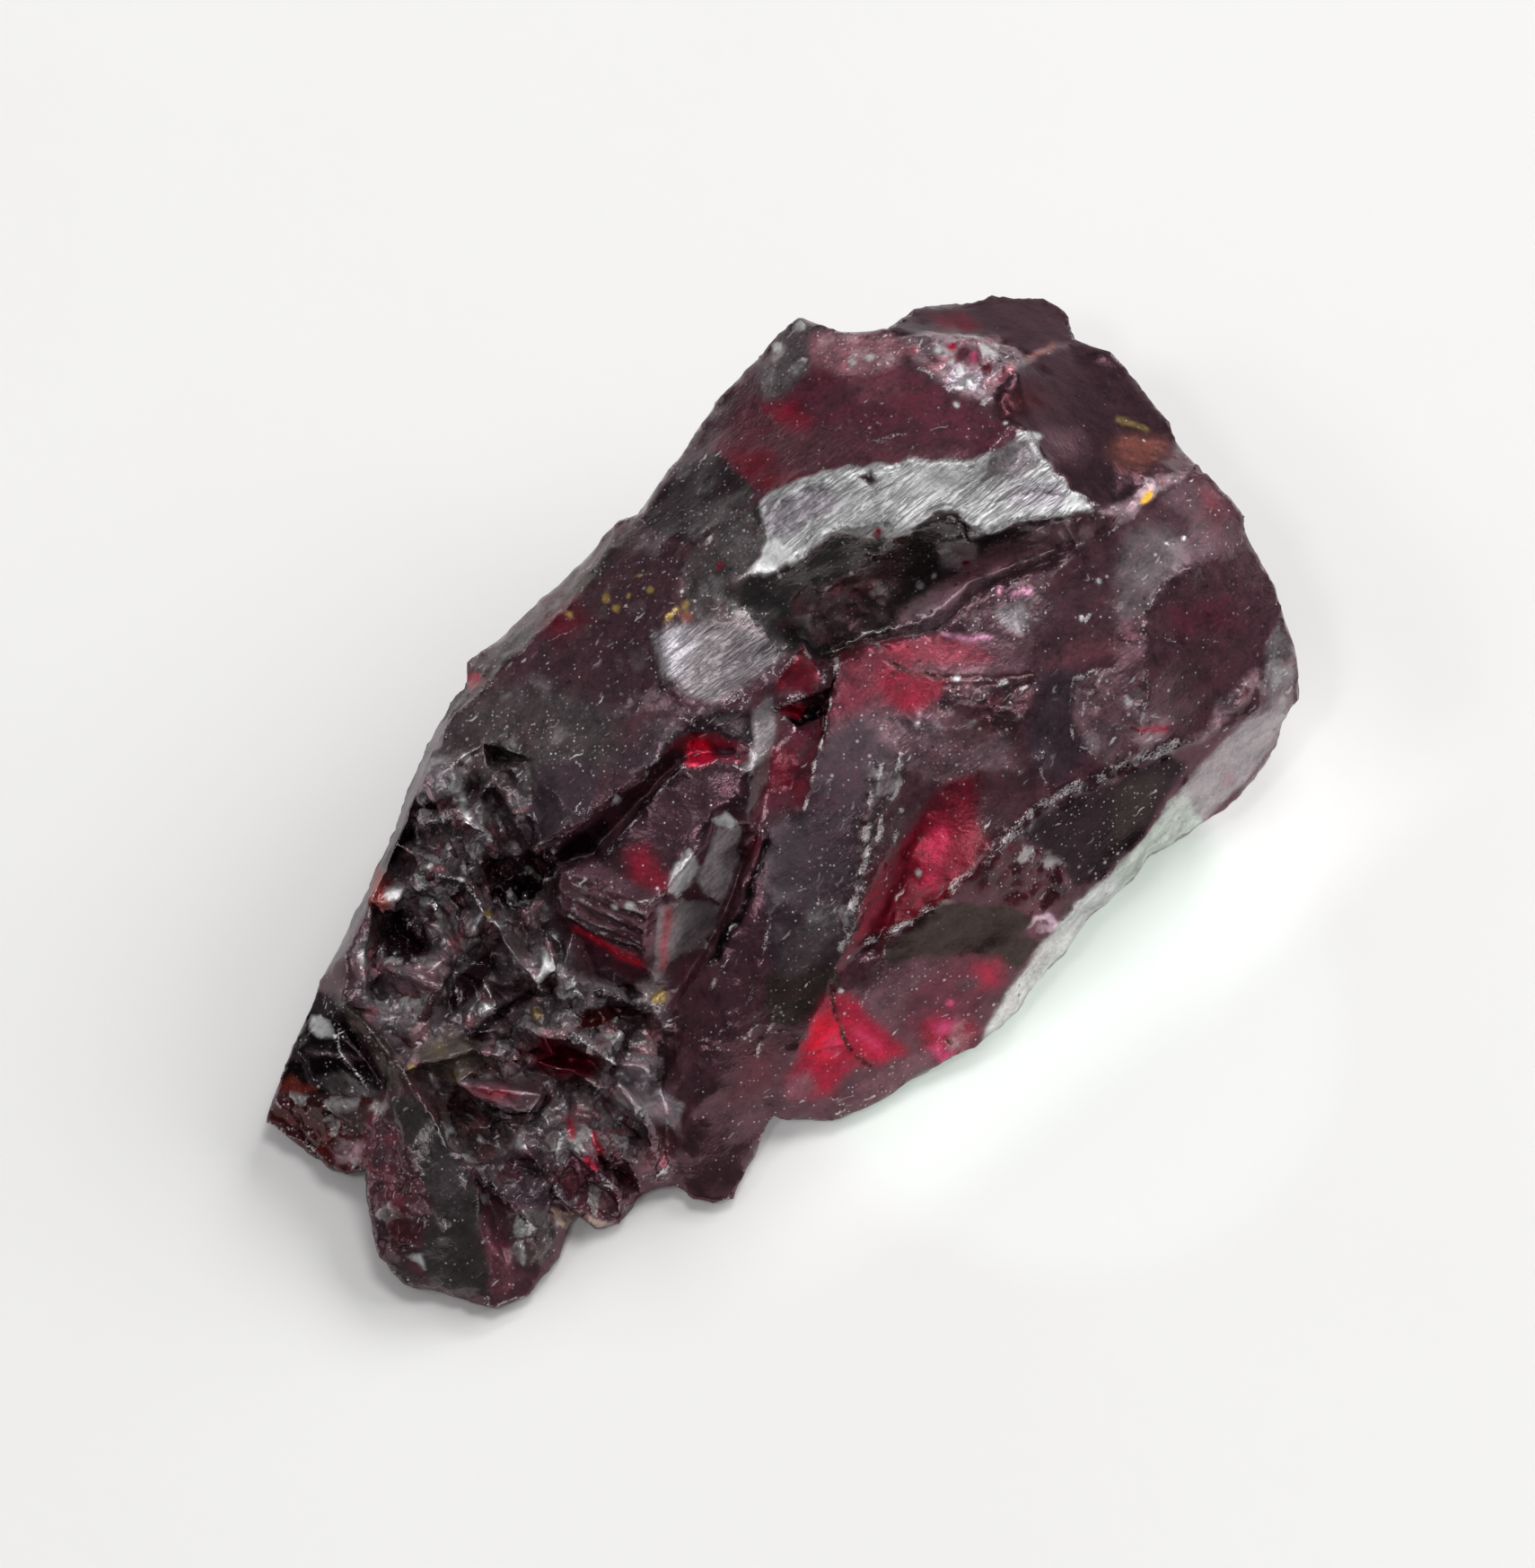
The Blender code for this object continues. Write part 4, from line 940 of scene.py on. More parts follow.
# A painted glint.
dot("white", "mirror", 1022, 973, 4)
mark("mulberry", "glossy", [
    (868, 790), (880, 808), (918, 808), (905, 872), (895, 900), (855, 905), (850, 960), (835, 1000),
    (832, 960), (845, 895), (858, 850),
])
mark("garnet", "clear", [(858, 840), (888, 830), (890, 880), (856, 882)], soft=12.8, strength=0.6)
mark("dusk", "matt", [
    (910, 836), (960, 800), (1000, 845), (990, 885), (975, 930), (950, 1000), (905, 1000),
    (895, 905), (905, 872),
], soft=7, strength=0.8)
mark("dusk", "dull", [
    (895, 905), (980, 900), (975, 950), (955, 1000), (945, 1055), (925, 1085), (900, 1105),
    (870, 1085), (845, 1060), (850, 1000), (852, 920),
], soft=8)
mark("dusk", "matt", [
    (865, 925), (930, 915), (935, 975), (900, 1010), (860, 1000),
], soft=14, strength=0.8)
mark("plum", "shaded", [
    (832, 970), (850, 1000), (853, 1060), (842, 1110), (820, 1160), (780, 1230), (760, 1200),
    (785, 1150), (800, 1090),
], soft=5)
mark("maroon", "shaded", [
    (880, 1152), (900, 1160), (882, 1200), (872, 1240), (850, 1272), (830, 1312), (800, 1337),
    (782, 1335), (748, 1312), (762, 1270), (800, 1200), (835, 1148),
])
mark("wine", "clear", [(830, 1170), (870, 1165), (860, 1205), (815, 1225)], soft=22, strength=0.25)
mark("umber", "dull", [
    (850, 1112), (860, 1080), (900, 1075), (928, 1072), (935, 1090), (906, 1130), (880, 1146),
    (855, 1136),
], soft=5)
mark("slate", "crumbly", [
    (870, 1060), (900, 1020), (935, 1000), (945, 1020), (920, 1060), (890, 1090), (868, 1090),
], soft=9, strength=0.7)
slab_cracks = (
    [
        (1003, 840), (1001, 858), (1003, 872), (992, 886), (986, 908), (980, 935), (962, 965),
        (956, 995), (946, 1018), (936, 1058),
    ],
    [(1003, 905), (1000, 920), (993, 937)],
    [(980, 855), (975, 870), (970, 900), (965, 935)],
)
for path in slab_cracks:
    mark("smoke", "crushed", path, soft=6, strength=0.5, width=7)
scratches(
    1.3, 0.8,
    [(985, 965), (988, 975), (980, 985)], [(925, 870), (922, 890)], [(955, 895), (960, 910)],
    [(850, 1135), (862, 1148), (880, 1150)], [(975, 845), (985, 852), (978, 868)],
)
scratches(
    3, 0.75,
    [(866, 1120), (850, 1160), (838, 1185)], [(852, 1120), (842, 1140), (830, 1155)],
    [(815, 1060), (800, 1085), (790, 1105)],
)
scratches(5, 0.85, *slab_cracks)

# The dished face, the red window at its foot, painted bright as light glowing through it, and
# the mottled rose beside it.
mark("umber", "deep", [
    (990, 1052), (1030, 1020), (1050, 1006), (1100, 1006), (1130, 1010), (1150, 1022), (1140, 1042),
    (1162, 1052), (1130, 1082), (1110, 1070), (1080, 1062), (1040, 1066), (1000, 1078), (984, 1066),
], soft=3)
mark("plum", "dull", [
    (958, 1128), (955, 1110), (985, 1076), (1040, 1066), (1032, 1090), (1012, 1112), (1002, 1142),
    (985, 1152),
], soft=5)
mark("mulberry", "clear", [
    (1030, 1092), (1080, 1062), (1110, 1070), (1122, 1086), (1092, 1122), (1080, 1152),
    (1040, 1162), (1000, 1150), (1012, 1112),
], soft=11)
mark("ruby", "clear", [
    (1090, 1075), (1112, 1072), (1112, 1095), (1095, 1098),
], soft=14, strength=0.5)
mark("maroon", "dull", [(1060, 1095), (1080, 1088), (1092, 1100), (1078, 1106)], soft=5)
mark("garnet", "crumbly", [
    (1026, 1140), (1042, 1130), (1060, 1134), (1088, 1150), (1078, 1168), (1050, 1180),
    (1030, 1172),
], soft=12, strength=0.8)
mark("hot_rose", "clear", [
    (1040, 1142), (1052, 1136), (1066, 1142), (1058, 1152), (1044, 1154),
], soft=6, strength=0.75)
mark("rose_ash", "crumbly", [
    (1058, 1156), (1072, 1148), (1084, 1156), (1074, 1168), (1060, 1166),
], soft=5, strength=0.8)
mark("hot_rose", "clear", [
    (1034, 1168), (1046, 1164), (1062, 1174), (1050, 1184),
], soft=5, strength=0.7)
dot("hot_rose", "clear", 1058, 1118, 5, strength=0.8, tall=0.7, lean=30)
mark("plum", "dull", [
    (930, 1228), (985, 1190), (1012, 1174), (1042, 1174), (1005, 1210), (950, 1238),
])
mark("garnet", "clear", [
    (920, 1108), (945, 1105), (972, 1135), (1012, 1172), (975, 1186), (945, 1186), (920, 1202),
    (900, 1192), (893, 1168), (908, 1130),
], soft=9)
# The bright core: painted glow.
mark("ember", "clear", [
    (898, 1164), (913, 1130), (930, 1130), (942, 1162), (930, 1180), (905, 1184),
], soft=9)
mark("flame", "clear", [(918, 1160), (928, 1150), (940, 1162), (932, 1176), (920, 1174)], soft=7)
mark("ruby", "clear", [
    (940, 1132), (950, 1130), (965, 1158), (1000, 1172), (985, 1180), (958, 1168), (946, 1150),
], soft=8, strength=0.7)
mark("hot_rose", "clear", [(952, 1148), (960, 1154), (980, 1170)], soft=5, strength=0.5, width=2)
mark("garnet", "clear", [
    (893, 1174), (920, 1186), (946, 1190), (930, 1216), (898, 1222), (878, 1205),
], soft=10)
mark("rosewood", "dull", [(880, 1200), (900, 1196), (910, 1215), (890, 1228), (872, 1222)], soft=6)
mark("oxblood", "dull", [
    (926, 1098), (929, 1128), (944, 1165), (957, 1180), (971, 1189),
], soft=2, width=2.6, relief=-0.03)
mark("wine", "dull", [(944, 1166), (925, 1168), (903, 1174)], soft=2, width=1.4)
# A painted glint.
dot("pearl", "mirror", 935, 1103, 3)
scratches(1.2, 0.8, [(850, 1223), (861, 1222)])
scratches(1.5, 0.8, [(1085, 1122), (1092, 1118)])
scratches(2, 0.8, [(1048, 1158), (1056, 1164), (1064, 1160)], [(922, 1223), (939, 1224)])
scratches(3, 0.7, [(985, 1060), (980, 1080), (985, 1095), (965, 1105), (958, 1120)])
scratches(3, 0.8, [(935, 1240), (950, 1232)])

# The block left of the slabs, with grey end faces and a ribbed front.
mark("sloe", "shaded", [
    (665, 962), (690, 930), (720, 890), (755, 857), (800, 850), (842, 865), (836, 890), (830, 912),
    (800, 902), (790, 926), (770, 950), (745, 970), (740, 992), (710, 986), (690, 976),
], soft=3)
mark("garnet", "clear", [
    (698, 950), (720, 943), (736, 970), (748, 986), (716, 992), (700, 972),
], soft=12.8, strength=0.9)
mark("pewter", "chalky", [
    (775, 982), (790, 946), (800, 926), (826, 920), (822, 952), (815, 986), (805, 1004),
    (790, 1000),
], soft=3)
mark("pewter", "satin", [
    (730, 1052), (735, 1010), (760, 1002), (790, 1005), (803, 1010), (795, 1036), (775, 1056),
    (745, 1070), (735, 1090), (724, 1090),
], soft=3)
mark("ruby", "clear", [(746, 1014), (741, 1048), (735, 1078)], soft=6, strength=0.8, width=3)
mark("plum", "dull", [
    (615, 986), (640, 970), (665, 962), (700, 985), (735, 1000), (728, 1055), (690, 1050),
    (650, 1035), (625, 1012),
])
ribs = (
    [(620, 1000), (660, 1026), (712, 1048)],
    [(628, 992), (670, 1014), (715, 1034)],
    [(640, 984), (685, 1005), (720, 1018)],
    [(634, 1018), (665, 1038), (715, 1056)],
)
# The grooves between the ribs are painted dark, as the shade in them.
for path in ribs:
    groove = [(u, v + 7) for u, v in path]
    mark("char", "dull", groove, soft=3, strength=0.9, width=2, relief=-0.03)
mark("mulberry", "glossy", [
    (638, 1034), (660, 1040), (690, 1060), (716, 1062), (722, 1082), (702, 1092), (680, 1070),
    (655, 1056),
], soft=5)
# A red line painted bright as light glowing through the rib.
mark("ember", "clear", [(642, 1036), (664, 1046), (690, 1064), (712, 1072)], strength=0.9, width=3)
# Painted highlights and glints on the block.
mark("pearl", "mirror", [
    (752, 962), (768, 948), (779, 966), (768, 985), (752, 1000), (744, 992),
], soft=3, strength=0.75)
mark("frost", "mirror", [(793, 914), (810, 905), (824, 914), (816, 923), (800, 921)], soft=2.5)
dots(
    "frost", "mirror",
    (702, 1010, 5), (684, 1010, 4), (786, 1052, 4), (796, 1065, 3), (782, 1045, 2),
)
# A crack painted near-black, as the shade in it.
mark("coal", "dark_glossy", [
    (826, 1008), (842, 955), (852, 918), (857, 940), (838, 1000), (816, 1042), (800, 1072),
    (788, 1076), (800, 1042),
], soft=3, relief=-0.04)
mark("char", "glossy", [
    (620, 946), (650, 926), (676, 908), (680, 930), (665, 956), (640, 966), (620, 962),
], soft=3)
mark("dusk", "glossy", [
    (574, 930), (600, 880), (604, 850), (662, 850), (670, 870), (656, 900), (612, 936), (590, 942),
])
mark("char", "crushed", [
    (545, 960), (590, 946), (620, 946), (616, 980), (600, 1000), (575, 1016), (550, 1006),
    (545, 980),
])
# A painted glint.
dot("frost", "mirror", 688, 890, 5)
scratches(
    1.4, 0.85,
    [(665, 960), (690, 930), (706, 910), (730, 885), (757, 857)],
    [(790, 1000), (805, 1005), (813, 982), (818, 960)], [(757, 857), (800, 848), (842, 864)],
)
scratches(
    2.2, 0.75,
    [(595, 941), (630, 931), (660, 906), (682, 896)],
    [(680, 895), (702, 880), (722, 860), (742, 828)], [(668, 870), (660, 860), (640, 848)],
    [(640, 905), (655, 880), (662, 862)],
)
scratches(2.4, 0.8, *ribs)
scratches(2.5, 0.8, [(624, 968), (612, 980), (605, 992)])

# The crushed end: painted glints, pits and cracks painted dark as the shade in them, and stained
# crumbs.
mark("ash", "dull", [
    (470, 812), (500, 800), (484, 860), (452, 920), (432, 960), (412, 1000), (397, 1030),
    (386, 1062), (392, 1010), (420, 940), (440, 880),
])
mark("brick", "dull", [
    (418, 965), (432, 975), (441, 990), (431, 1016), (415, 1011), (412, 985),
], strength=0.7)
dot("pearl", "satin", 437, 995, 8)
mark("coal", "dark_glossy", [(456, 913), (466, 930), (442, 960), (424, 966), (440, 930)])
wedge_glint = [(344, 1136), (355, 1130), (367, 1140), (371, 1156), (354, 1156), (344, 1146)]
for path in (
    [(500, 865), (512, 868), (524, 900), (521, 916), (505, 900)],
    [(598, 1052), (610, 1058), (618, 1075), (610, 1091), (597, 1096), (602, 1072)],
    [(436, 1126), (450, 1111), (472, 1111), (460, 1123), (445, 1129)],
    wedge_glint,
    [(454, 1400), (475, 1394), (486, 1405), (475, 1416), (464, 1406)],
    [(508, 1260), (517, 1249), (524, 1252), (514, 1270)],
):
    mark("frost", "mirror", path, soft=2.5)
mark("silver", "silky", [(518, 1036), (530, 1014), (552, 1014), (540, 1036)])
dots(
    "frost", "mirror",
    (540, 910, 7), (516, 980, 5), (470, 1013, 5), (490, 1030, 5), (617, 1131, 5), (695, 1136, 5),
    (540, 1335, 5), (550, 1308, 3), (520, 845, 5), (505, 925, 3), (478, 968, 3), (610, 1010, 3),
    (560, 1180, 2), (575, 1160, 3), (640, 1200, 3), (700, 1162, 4), (545, 1275, 3), (530, 1060, 4),
)
dot("white", "mirror", 557, 1027, 6)
dot("gold", "dull", 545, 1019, 5)
dot("sage", "satin", 680, 1155, 7, tall=0.6)
dot("pearl", "satin", 580, 1275, 10, tall=0.6)
dots(
    "gold", "dull",
    (490, 1167, 7), (497, 1172, 4), (505, 1200, 5), (460, 1190, 4), (735, 1110, 8), (596, 1128, 5),
    strength=0.9,
)
dots("pink", "clear", (522, 1214, 4), (448, 1091, 2))
mark("wine", "clear", [
    (590, 1190), (600, 1150), (640, 1165), (672, 1180), (660, 1200), (620, 1202),
], soft=8)
mark("char", "dark_glossy", [
    (508, 1156), (560, 1120), (590, 1100), (602, 1108), (560, 1136), (530, 1161),
], soft=3)
mark("olive", "dull", [
    (465, 1165), (500, 1150), (530, 1160), (546, 1180), (520, 1202), (470, 1196),
], soft=6, strength=0.8)
mark("char", "crushed", [
    (430, 1070), (424, 1040), (440, 1010), (470, 1020), (482, 1050), (460, 1080),
], soft=5)
mark("mauve", "dull", [
    (428, 1096), (440, 1084), (480, 1079), (502, 1090), (480, 1106), (440, 1106),
])
mark("char", "glossy", [
    (510, 1085), (540, 1060), (560, 1045), (555, 1080), (530, 1110), (505, 1130), (490, 1140),
    (500, 1105),
], soft=5)
mark("slate", "dull", [
    (555, 1045), (600, 1035), (590, 1065), (565, 1105), (545, 1110), (550, 1080),
], soft=5, strength=0.8)
mark("char", "crushed", [
    (640, 1150), (650, 1125), (700, 1115), (735, 1118), (720, 1145), (690, 1190), (675, 1185),
    (690, 1150),
], soft=5, strength=0.8)
mark("oxblood", "glossy", [(640, 1143), (652, 1125), (688, 1120), (685, 1135), (660, 1148)], soft=3)
mark("mauve", "dull", [
    (505, 1205), (540, 1200), (600, 1205), (612, 1218), (600, 1236), (570, 1236), (520, 1222),
], soft=3)
mark("garnet", "clear", [(525, 1212), (565, 1212), (575, 1222), (545, 1222)], soft=10)
mark("coal", "dark_glossy", [
    (515, 1226), (560, 1240), (600, 1242), (613, 1222),
], soft=2.5, width=2.5, relief=-0.04)
mark("smoke", "crushed", [
    (478, 1240), (500, 1224), (540, 1230), (556, 1246), (550, 1280), (520, 1292), (500, 1280),
    (485, 1262),
])
mark("dusk", "crushed", [
    (530, 1292), (600, 1280), (622, 1310), (640, 1340), (600, 1352), (560, 1340), (535, 1322),
], soft=6, strength=0.9)
mark("silver", "crumbly", [
    (690, 1192), (720, 1185), (736, 1215), (762, 1230), (756, 1262), (730, 1242), (700, 1232),
    (680, 1232),
], soft=5)
mark("mauve", "crushed", [(724, 1270), (745, 1258), (752, 1300), (736, 1322), (714, 1310)], soft=5)
mark("plum", "crushed", [
    (640, 1282), (690, 1280), (712, 1320), (700, 1350), (680, 1372), (650, 1350), (630, 1330),
    (610, 1310),
], soft=5)
for path in ([(635, 1245), (637, 1265)], [(663, 1262), (668, 1285)], [(655, 1290), (662, 1300)]):
    mark("ruby", "clear", path, soft=3, width=3)
mark("tan", "dull", [(614, 1345), (650, 1352), (641, 1371), (620, 1366)], soft=2.5)
mark("tan", "dull", [(655, 1354), (681, 1360), (692, 1373), (660, 1371)], soft=2.5)
scratches(
    1.8, 0.85,
    [(700, 1165), (725, 1160), (745, 1155)], [(730, 1140), (750, 1132), (775, 1130)],
    [(790, 1128), (798, 1140), (795, 1155), (780, 1160)], [(690, 1200), (715, 1195)],
    [(760, 1165), (780, 1172), (800, 1165)],
)

# The wedge, the blade and the prism at the lower left.
mark("coal", "dark_glossy", [
    (318, 1182), (345, 1110), (365, 1105), (390, 1130), (400, 1160), (420, 1200), (425, 1226),
    (360, 1221), (310, 1216),
], soft=3)
mark("frost", "mirror", wedge_glint, soft=2.5)
mark("dusk", "dull", [(345, 1172), (372, 1174), (400, 1178)], soft=3, width=3.5)
mark("smoke", "dull", [(352, 1200), (380, 1194), (420, 1215), (422, 1225), (370, 1216)], soft=3)
mark("brick", "clear", [
    (314, 1206), (325, 1199), (341, 1208), (351, 1216), (330, 1221), (311, 1217),
], soft=5, strength=0.6)
mark("oxblood", "crushed", [
    (298, 1242), (318, 1220), (420, 1226), (430, 1241), (425, 1262), (405, 1302), (385, 1306),
    (340, 1286), (304, 1266),
], soft=3)
mark("smoke", "dull", [(368, 1235), (420, 1232), (420, 1260), (385, 1262)], soft=6, strength=0.7)
mark("heather", "crumbly", [
    (374, 1271), (398, 1268), (413, 1275), (401, 1297), (374, 1296),
], strength=0.7)
mark("umber", "dull", [
    (365, 1104), (386, 1109), (402, 1125), (430, 1158), (451, 1190), (454, 1206), (440, 1216),
    (430, 1216), (420, 1190), (404, 1165), (394, 1150), (380, 1125),
], soft=2.5)
# A crack painted near-black, as the shade in it.
mark("coal", "dark_glossy", [(405, 1165), (418, 1188), (428, 1210)], soft=2, strength=0.8, width=2)
mark("smoke", "shaded", [
    (430, 1222), (460, 1219), (472, 1230), (492, 1260), (512, 1290), (530, 1320), (536, 1350),
    (530, 1370), (541, 1400), (546, 1442), (520, 1447), (480, 1432), (470, 1400), (480, 1340),
    (460, 1290), (440, 1250),
], soft=3)
mark("slate", "shaded", [
    (480, 1275), (508, 1290), (525, 1330), (505, 1345), (485, 1315),
], soft=10, strength=0.8)
mark("maroon", "crushed", [
    (409, 1240), (430, 1225), (446, 1260), (466, 1300), (481, 1350), (466, 1386), (440, 1402),
    (418, 1382), (411, 1330), (407, 1290),
], soft=5)
mark("oxblood", "glossy", [
    (425, 1345), (455, 1345), (462, 1380), (435, 1385),
], soft=7, strength=0.8)
mark("smoke", "dull", [(425, 1396), (450, 1410), (480, 1431), (460, 1436), (438, 1425)])
mark("rosewood", "crumbly", [
    (540, 1370), (560, 1380), (576, 1420), (571, 1441), (550, 1442), (545, 1400),
])
mark("smoke", "crushed", [
    (568, 1352), (600, 1345), (622, 1370), (612, 1400), (590, 1412), (570, 1390),
], soft=5)
scratches(
    1.3, 0.7,
    [(415, 1303), (430, 1306)], [(413, 1338), (432, 1340)], [(424, 1352), (446, 1353)],
    [(412, 1270), (428, 1274)], [(422, 1322), (440, 1325)], [(430, 1366), (450, 1368)],
    [(416, 1288), (434, 1292)],
)
scratches(
    1.3, 0.8,
    [(390, 1146), (405, 1176), (425, 1206), (432, 1221)], [(400, 1130), (430, 1168), (446, 1196)],
    [(597, 1375), (606, 1362)], [(580, 1360), (574, 1380), (580, 1395)], [(600, 1392), (610, 1384)],
)
scratches(2, 0.8, [(541, 1438), (542, 1450)])
scratches(
    2.4, 0.8,
    [(320, 1258), (332, 1263)], [(345, 1262), (356, 1254)], [(325, 1238), (345, 1228)],
)


wide_waver = (2.6, 3.0)  # how the marks' edges wander: waves to the millimetre, and how far
fine_waver = (7.0, 1.2)
rim_start = -0.05  # marks fade out where a face turns away from the viewer
rim_width = 0.15


def laid_on(spread=0.0):
    """Lays every stroke on the vertices, its edges this much wider. Gives each vertex its colour,
    the traits of its skin, how far it is raised, and how scratched it is."""
    places = np.array([v.co for v in stone_shape.verts])
    facings = np.array([v.normal.dot(sight_back) for v in stone_shape.verts])
    seen = (places - np.array(sight_middle)) @ np.array(to_sight).T / MM
    across = sheet_middle[0] + sheet_lines * seen[:, 0]
    across = across + wander(*wide_waver, 0.0) + wander(*fine_waver, 5.0)
    down = sheet_middle[1] - sheet_lines * seen[:, 1]
    down = down + wander(*wide_waver, 9.0) + wander(*fine_waver, 2.0)
    shown = np.clip((facings - rim_start) / rim_width, 0.0, 1.0)
    colours = np.tile(base_colour("maroon", 0.0), (len(places), 1))
    traits = np.tile(np.array(skins["glossy"]), (len(places), 1))
    reliefs = np.zeros(len(places))
    scores = np.zeros(len(places))
    for tone, skin, path, soft, strength, width, relief in strokes:
        soft = soft + spread
        edge = width or 0.0
        us, vs = zip(*path)
        rows = np.nonzero(
            (across > min(us) - soft - edge)
            & (across < max(us) + soft + edge)
            & (down > min(vs) - soft - edge)
            & (down < max(vs) + soft + edge)
            & (shown > 0.0)
        )[0]
        if not len(rows):
            continue
        gap = gap_to(across[rows], down[rows], path, width is None)
        share = strength * shown[rows] * (1.0 - ease(gap, edge - soft, edge + soft))
        if tone is None:
            scores[rows] = np.maximum(scores[rows], share)
            continue
        trait = np.array(skins[skin])
        colours[rows] += share[:, None] * (base_colour(tone, trait[SHINE]) - colours[rows])
        traits[rows] += share[:, None] * (trait - traits[rows])
        reliefs[rows] += share * relief
    return colours, traits, reliefs, scores


# Edges are halved where the strokes, the ridges or the crushed end need a finer mesh, those with
# the greatest need first: an edge from black to white needs it by 1. Each halving adds two faces.
trait_need = 0.3
full_relief = 0.04
scratch_need = 0.8
broken_need = 0.22
ridge_need = 0.12
least_need = 0.01
ridge_reach = 0.02
pale_bends = (16.0, 40.0)  # a ridge bent less has no pale line, and one bent more a full one
for finest, spread, most_triangles in (
    (0.12 * MM, 5.0, 140000),
    (0.085 * MM, 2.5, 178000),
    (0.06 * MM, 1.0, 197000),
):
    colours, traits, reliefs, scores = laid_on(spread)
    gaps, bends = (np.array(values) for values in ridges_by())
    look = np.column_stack(
        (np.sqrt(colours), trait_need * traits, reliefs / full_relief, scratch_need * scores)
    )
    edges = [e for e in stone_shape.edges if e.calc_length() > finest]
    ends = np.array([[v.index for v in e.verts] for e in edges])
    need = np.abs(look[ends[:, 0]] - look[ends[:, 1]]).max(axis=1)
    need = np.maximum(need, broken_need * traits[ends, BROKEN].mean(axis=1))
    ridged = (gaps[ends].min(axis=1) < ridge_reach) & (bends[ends].max(axis=1) > pale_bends[0])
    need = np.maximum(need, ridge_need * ridged)
    order = np.argsort(-need, kind="stable")[: (most_triangles - len(stone_shape.faces)) // 2]
    split([edges[i] for i in order if need[i] > least_need])

# The faces are smoothed. The ridges stay sharp and the base stays flat.
held_reach = 0.04
smoothing_rounds = 8
gaps, bends = ridges_by()
free = [
    v
    for v, gap in zip(stone_shape.verts, gaps)
    if v.co.z > table_clearance and gap > held_reach
]
for _ in range(smoothing_rounds):
    bmesh.ops.smooth_vert(
        stone_shape, verts=free, factor=0.5, use_axis_x=True, use_axis_y=True, use_axis_z=True
    )
stone_shape.normal_update()

# Then every vertex is moved a little: the faces ripple, the ridges are chipped and their edges
# pale, and the crushed end breaks up into lumps with a tone each. Lengths are in millimetres here,
# and bends in degrees.
steep_range = 0.30
steep_shine = 0.55
pale_reach = 0.13
drift_reach = 0.5
drifts = ((2.0, 0.07), (5.0, 0.03))  # waves to the millimetre, and how far they move a vertex
ripples = ((3.4, 0.010), (8.0, 0.006))
scratch_rise = 0.015
least_broken = 0.02
lump_sizes = ((0.85, 0.16), (0.38, 0.10))  # how wide the lumps are, and how high
lump_lean = 2.2
glint_pick = -0.85
glint_share = 0.7
chip_bends = (24.0, 60.0)
chip_reach = 0.14
chip_depth = 0.07


def patches(place, waves, shift, low, high):
    """0 where a smooth noise of this many waves to the millimetre is low, and 1 where high."""
    return ease(noise.noise(place * waves + Vector(shift)), low, high)


colours, traits, reliefs, scores = laid_on()
# Steep faces are given more shine, which darkens them: painted shade on the sides that turn down
# towards the bright table.
uprights = np.array([v.normal.z for v in stone_shape.verts])
steeps = 1.0 - np.clip((uprights - steep_range) / steep_range, 0.0, 1.0)
traits[:, SHINE] += steep_shine * steeps * (1.0 - traits[:, SHINE])
pigment = []
finish = []
moves = []
for vert, gap, bend, colour, trait, relief, score in zip(
    stone_shape.verts, gaps, bends, colours, traits, reliefs, scores
):
    place = vert.co / MM
    roughness, wrinkled, speckled, shine, broken = trait
    ridge_line = 0.34 + 0.50 * patches(place, 1.3, (2.0, 8.0, 5.0), -0.2, 0.4)
    score *= 0.35 + 0.75 * patches(place, 3.3, (1.0, 6.0, 2.0), -0.25, 0.15)
    pale_line = max(ridge_line * ease(bend, *pale_bends) * ease(gap, pale_reach, 0.0), score)
    weight = 0.10 + 0.90 * ease(gap, drift_reach, 0.0)
    drift = sum((reach * vector_noise(place * waves) for waves, reach in drifts), Vector())
    rise = sum(height * noise.noise(place * waves) for waves, height in ripples)
    rise += relief + scratch_rise * score
    if broken > least_broken:
        dark = 0.0
        for size, height in lump_sizes:
            _, centres = noise.voronoi(place / size)
            lean = vector_noise(centres[0] * 5.3)
            rise += broken * height * (place / size - centres[0]).dot(lean) * lump_lean
            pick = noise.cell(centres[0] * 31.7)
            dark += pick
        # The small lumps, found last, are each redder or not, and a few are painted white as
        # glints.
        redness = broken * max(0.0, noise.cell(centres[0] * 17.3))
        tint = (1.0 + 0.3 * redness, 1.0 - 0.35 * redness, 1.0 - 0.3 * redness)
        colour = colour * np.array(tint)
        colour = np.minimum(colour * 2.0 ** (-0.6 * broken * dark), 0.9)
        if pick < glint_pick:
            colour = colour + broken * glint_share * (base_colour("frost", shine) - colour)
    if bend > chip_bends[0]:
        chip = patches(place, 2.4, (4.4, 1.0, 2.0), -0.1, 0.5)
        rise -= chip_depth * chip * ease(gap, chip_reach, 0.0) * ease(bend, *chip_bends)
    pigment.extend((*colour, shine))
    finish.extend((roughness, wrinkled, speckled, pale_line))
    moves.append((drift * weight + vert.normal * rise) * MM)

base_share = 0.3
low, high = cad_box
for vert, move in zip(stone_shape.verts, moves):
    if vert.co.z < table_clearance:
        move = Vector((move.x, move.y, 0.0)) * base_share
    vert.co += move
    for axis in range(3):
        vert.co[axis] = min(max(vert.co[axis], low[axis]), high[axis])

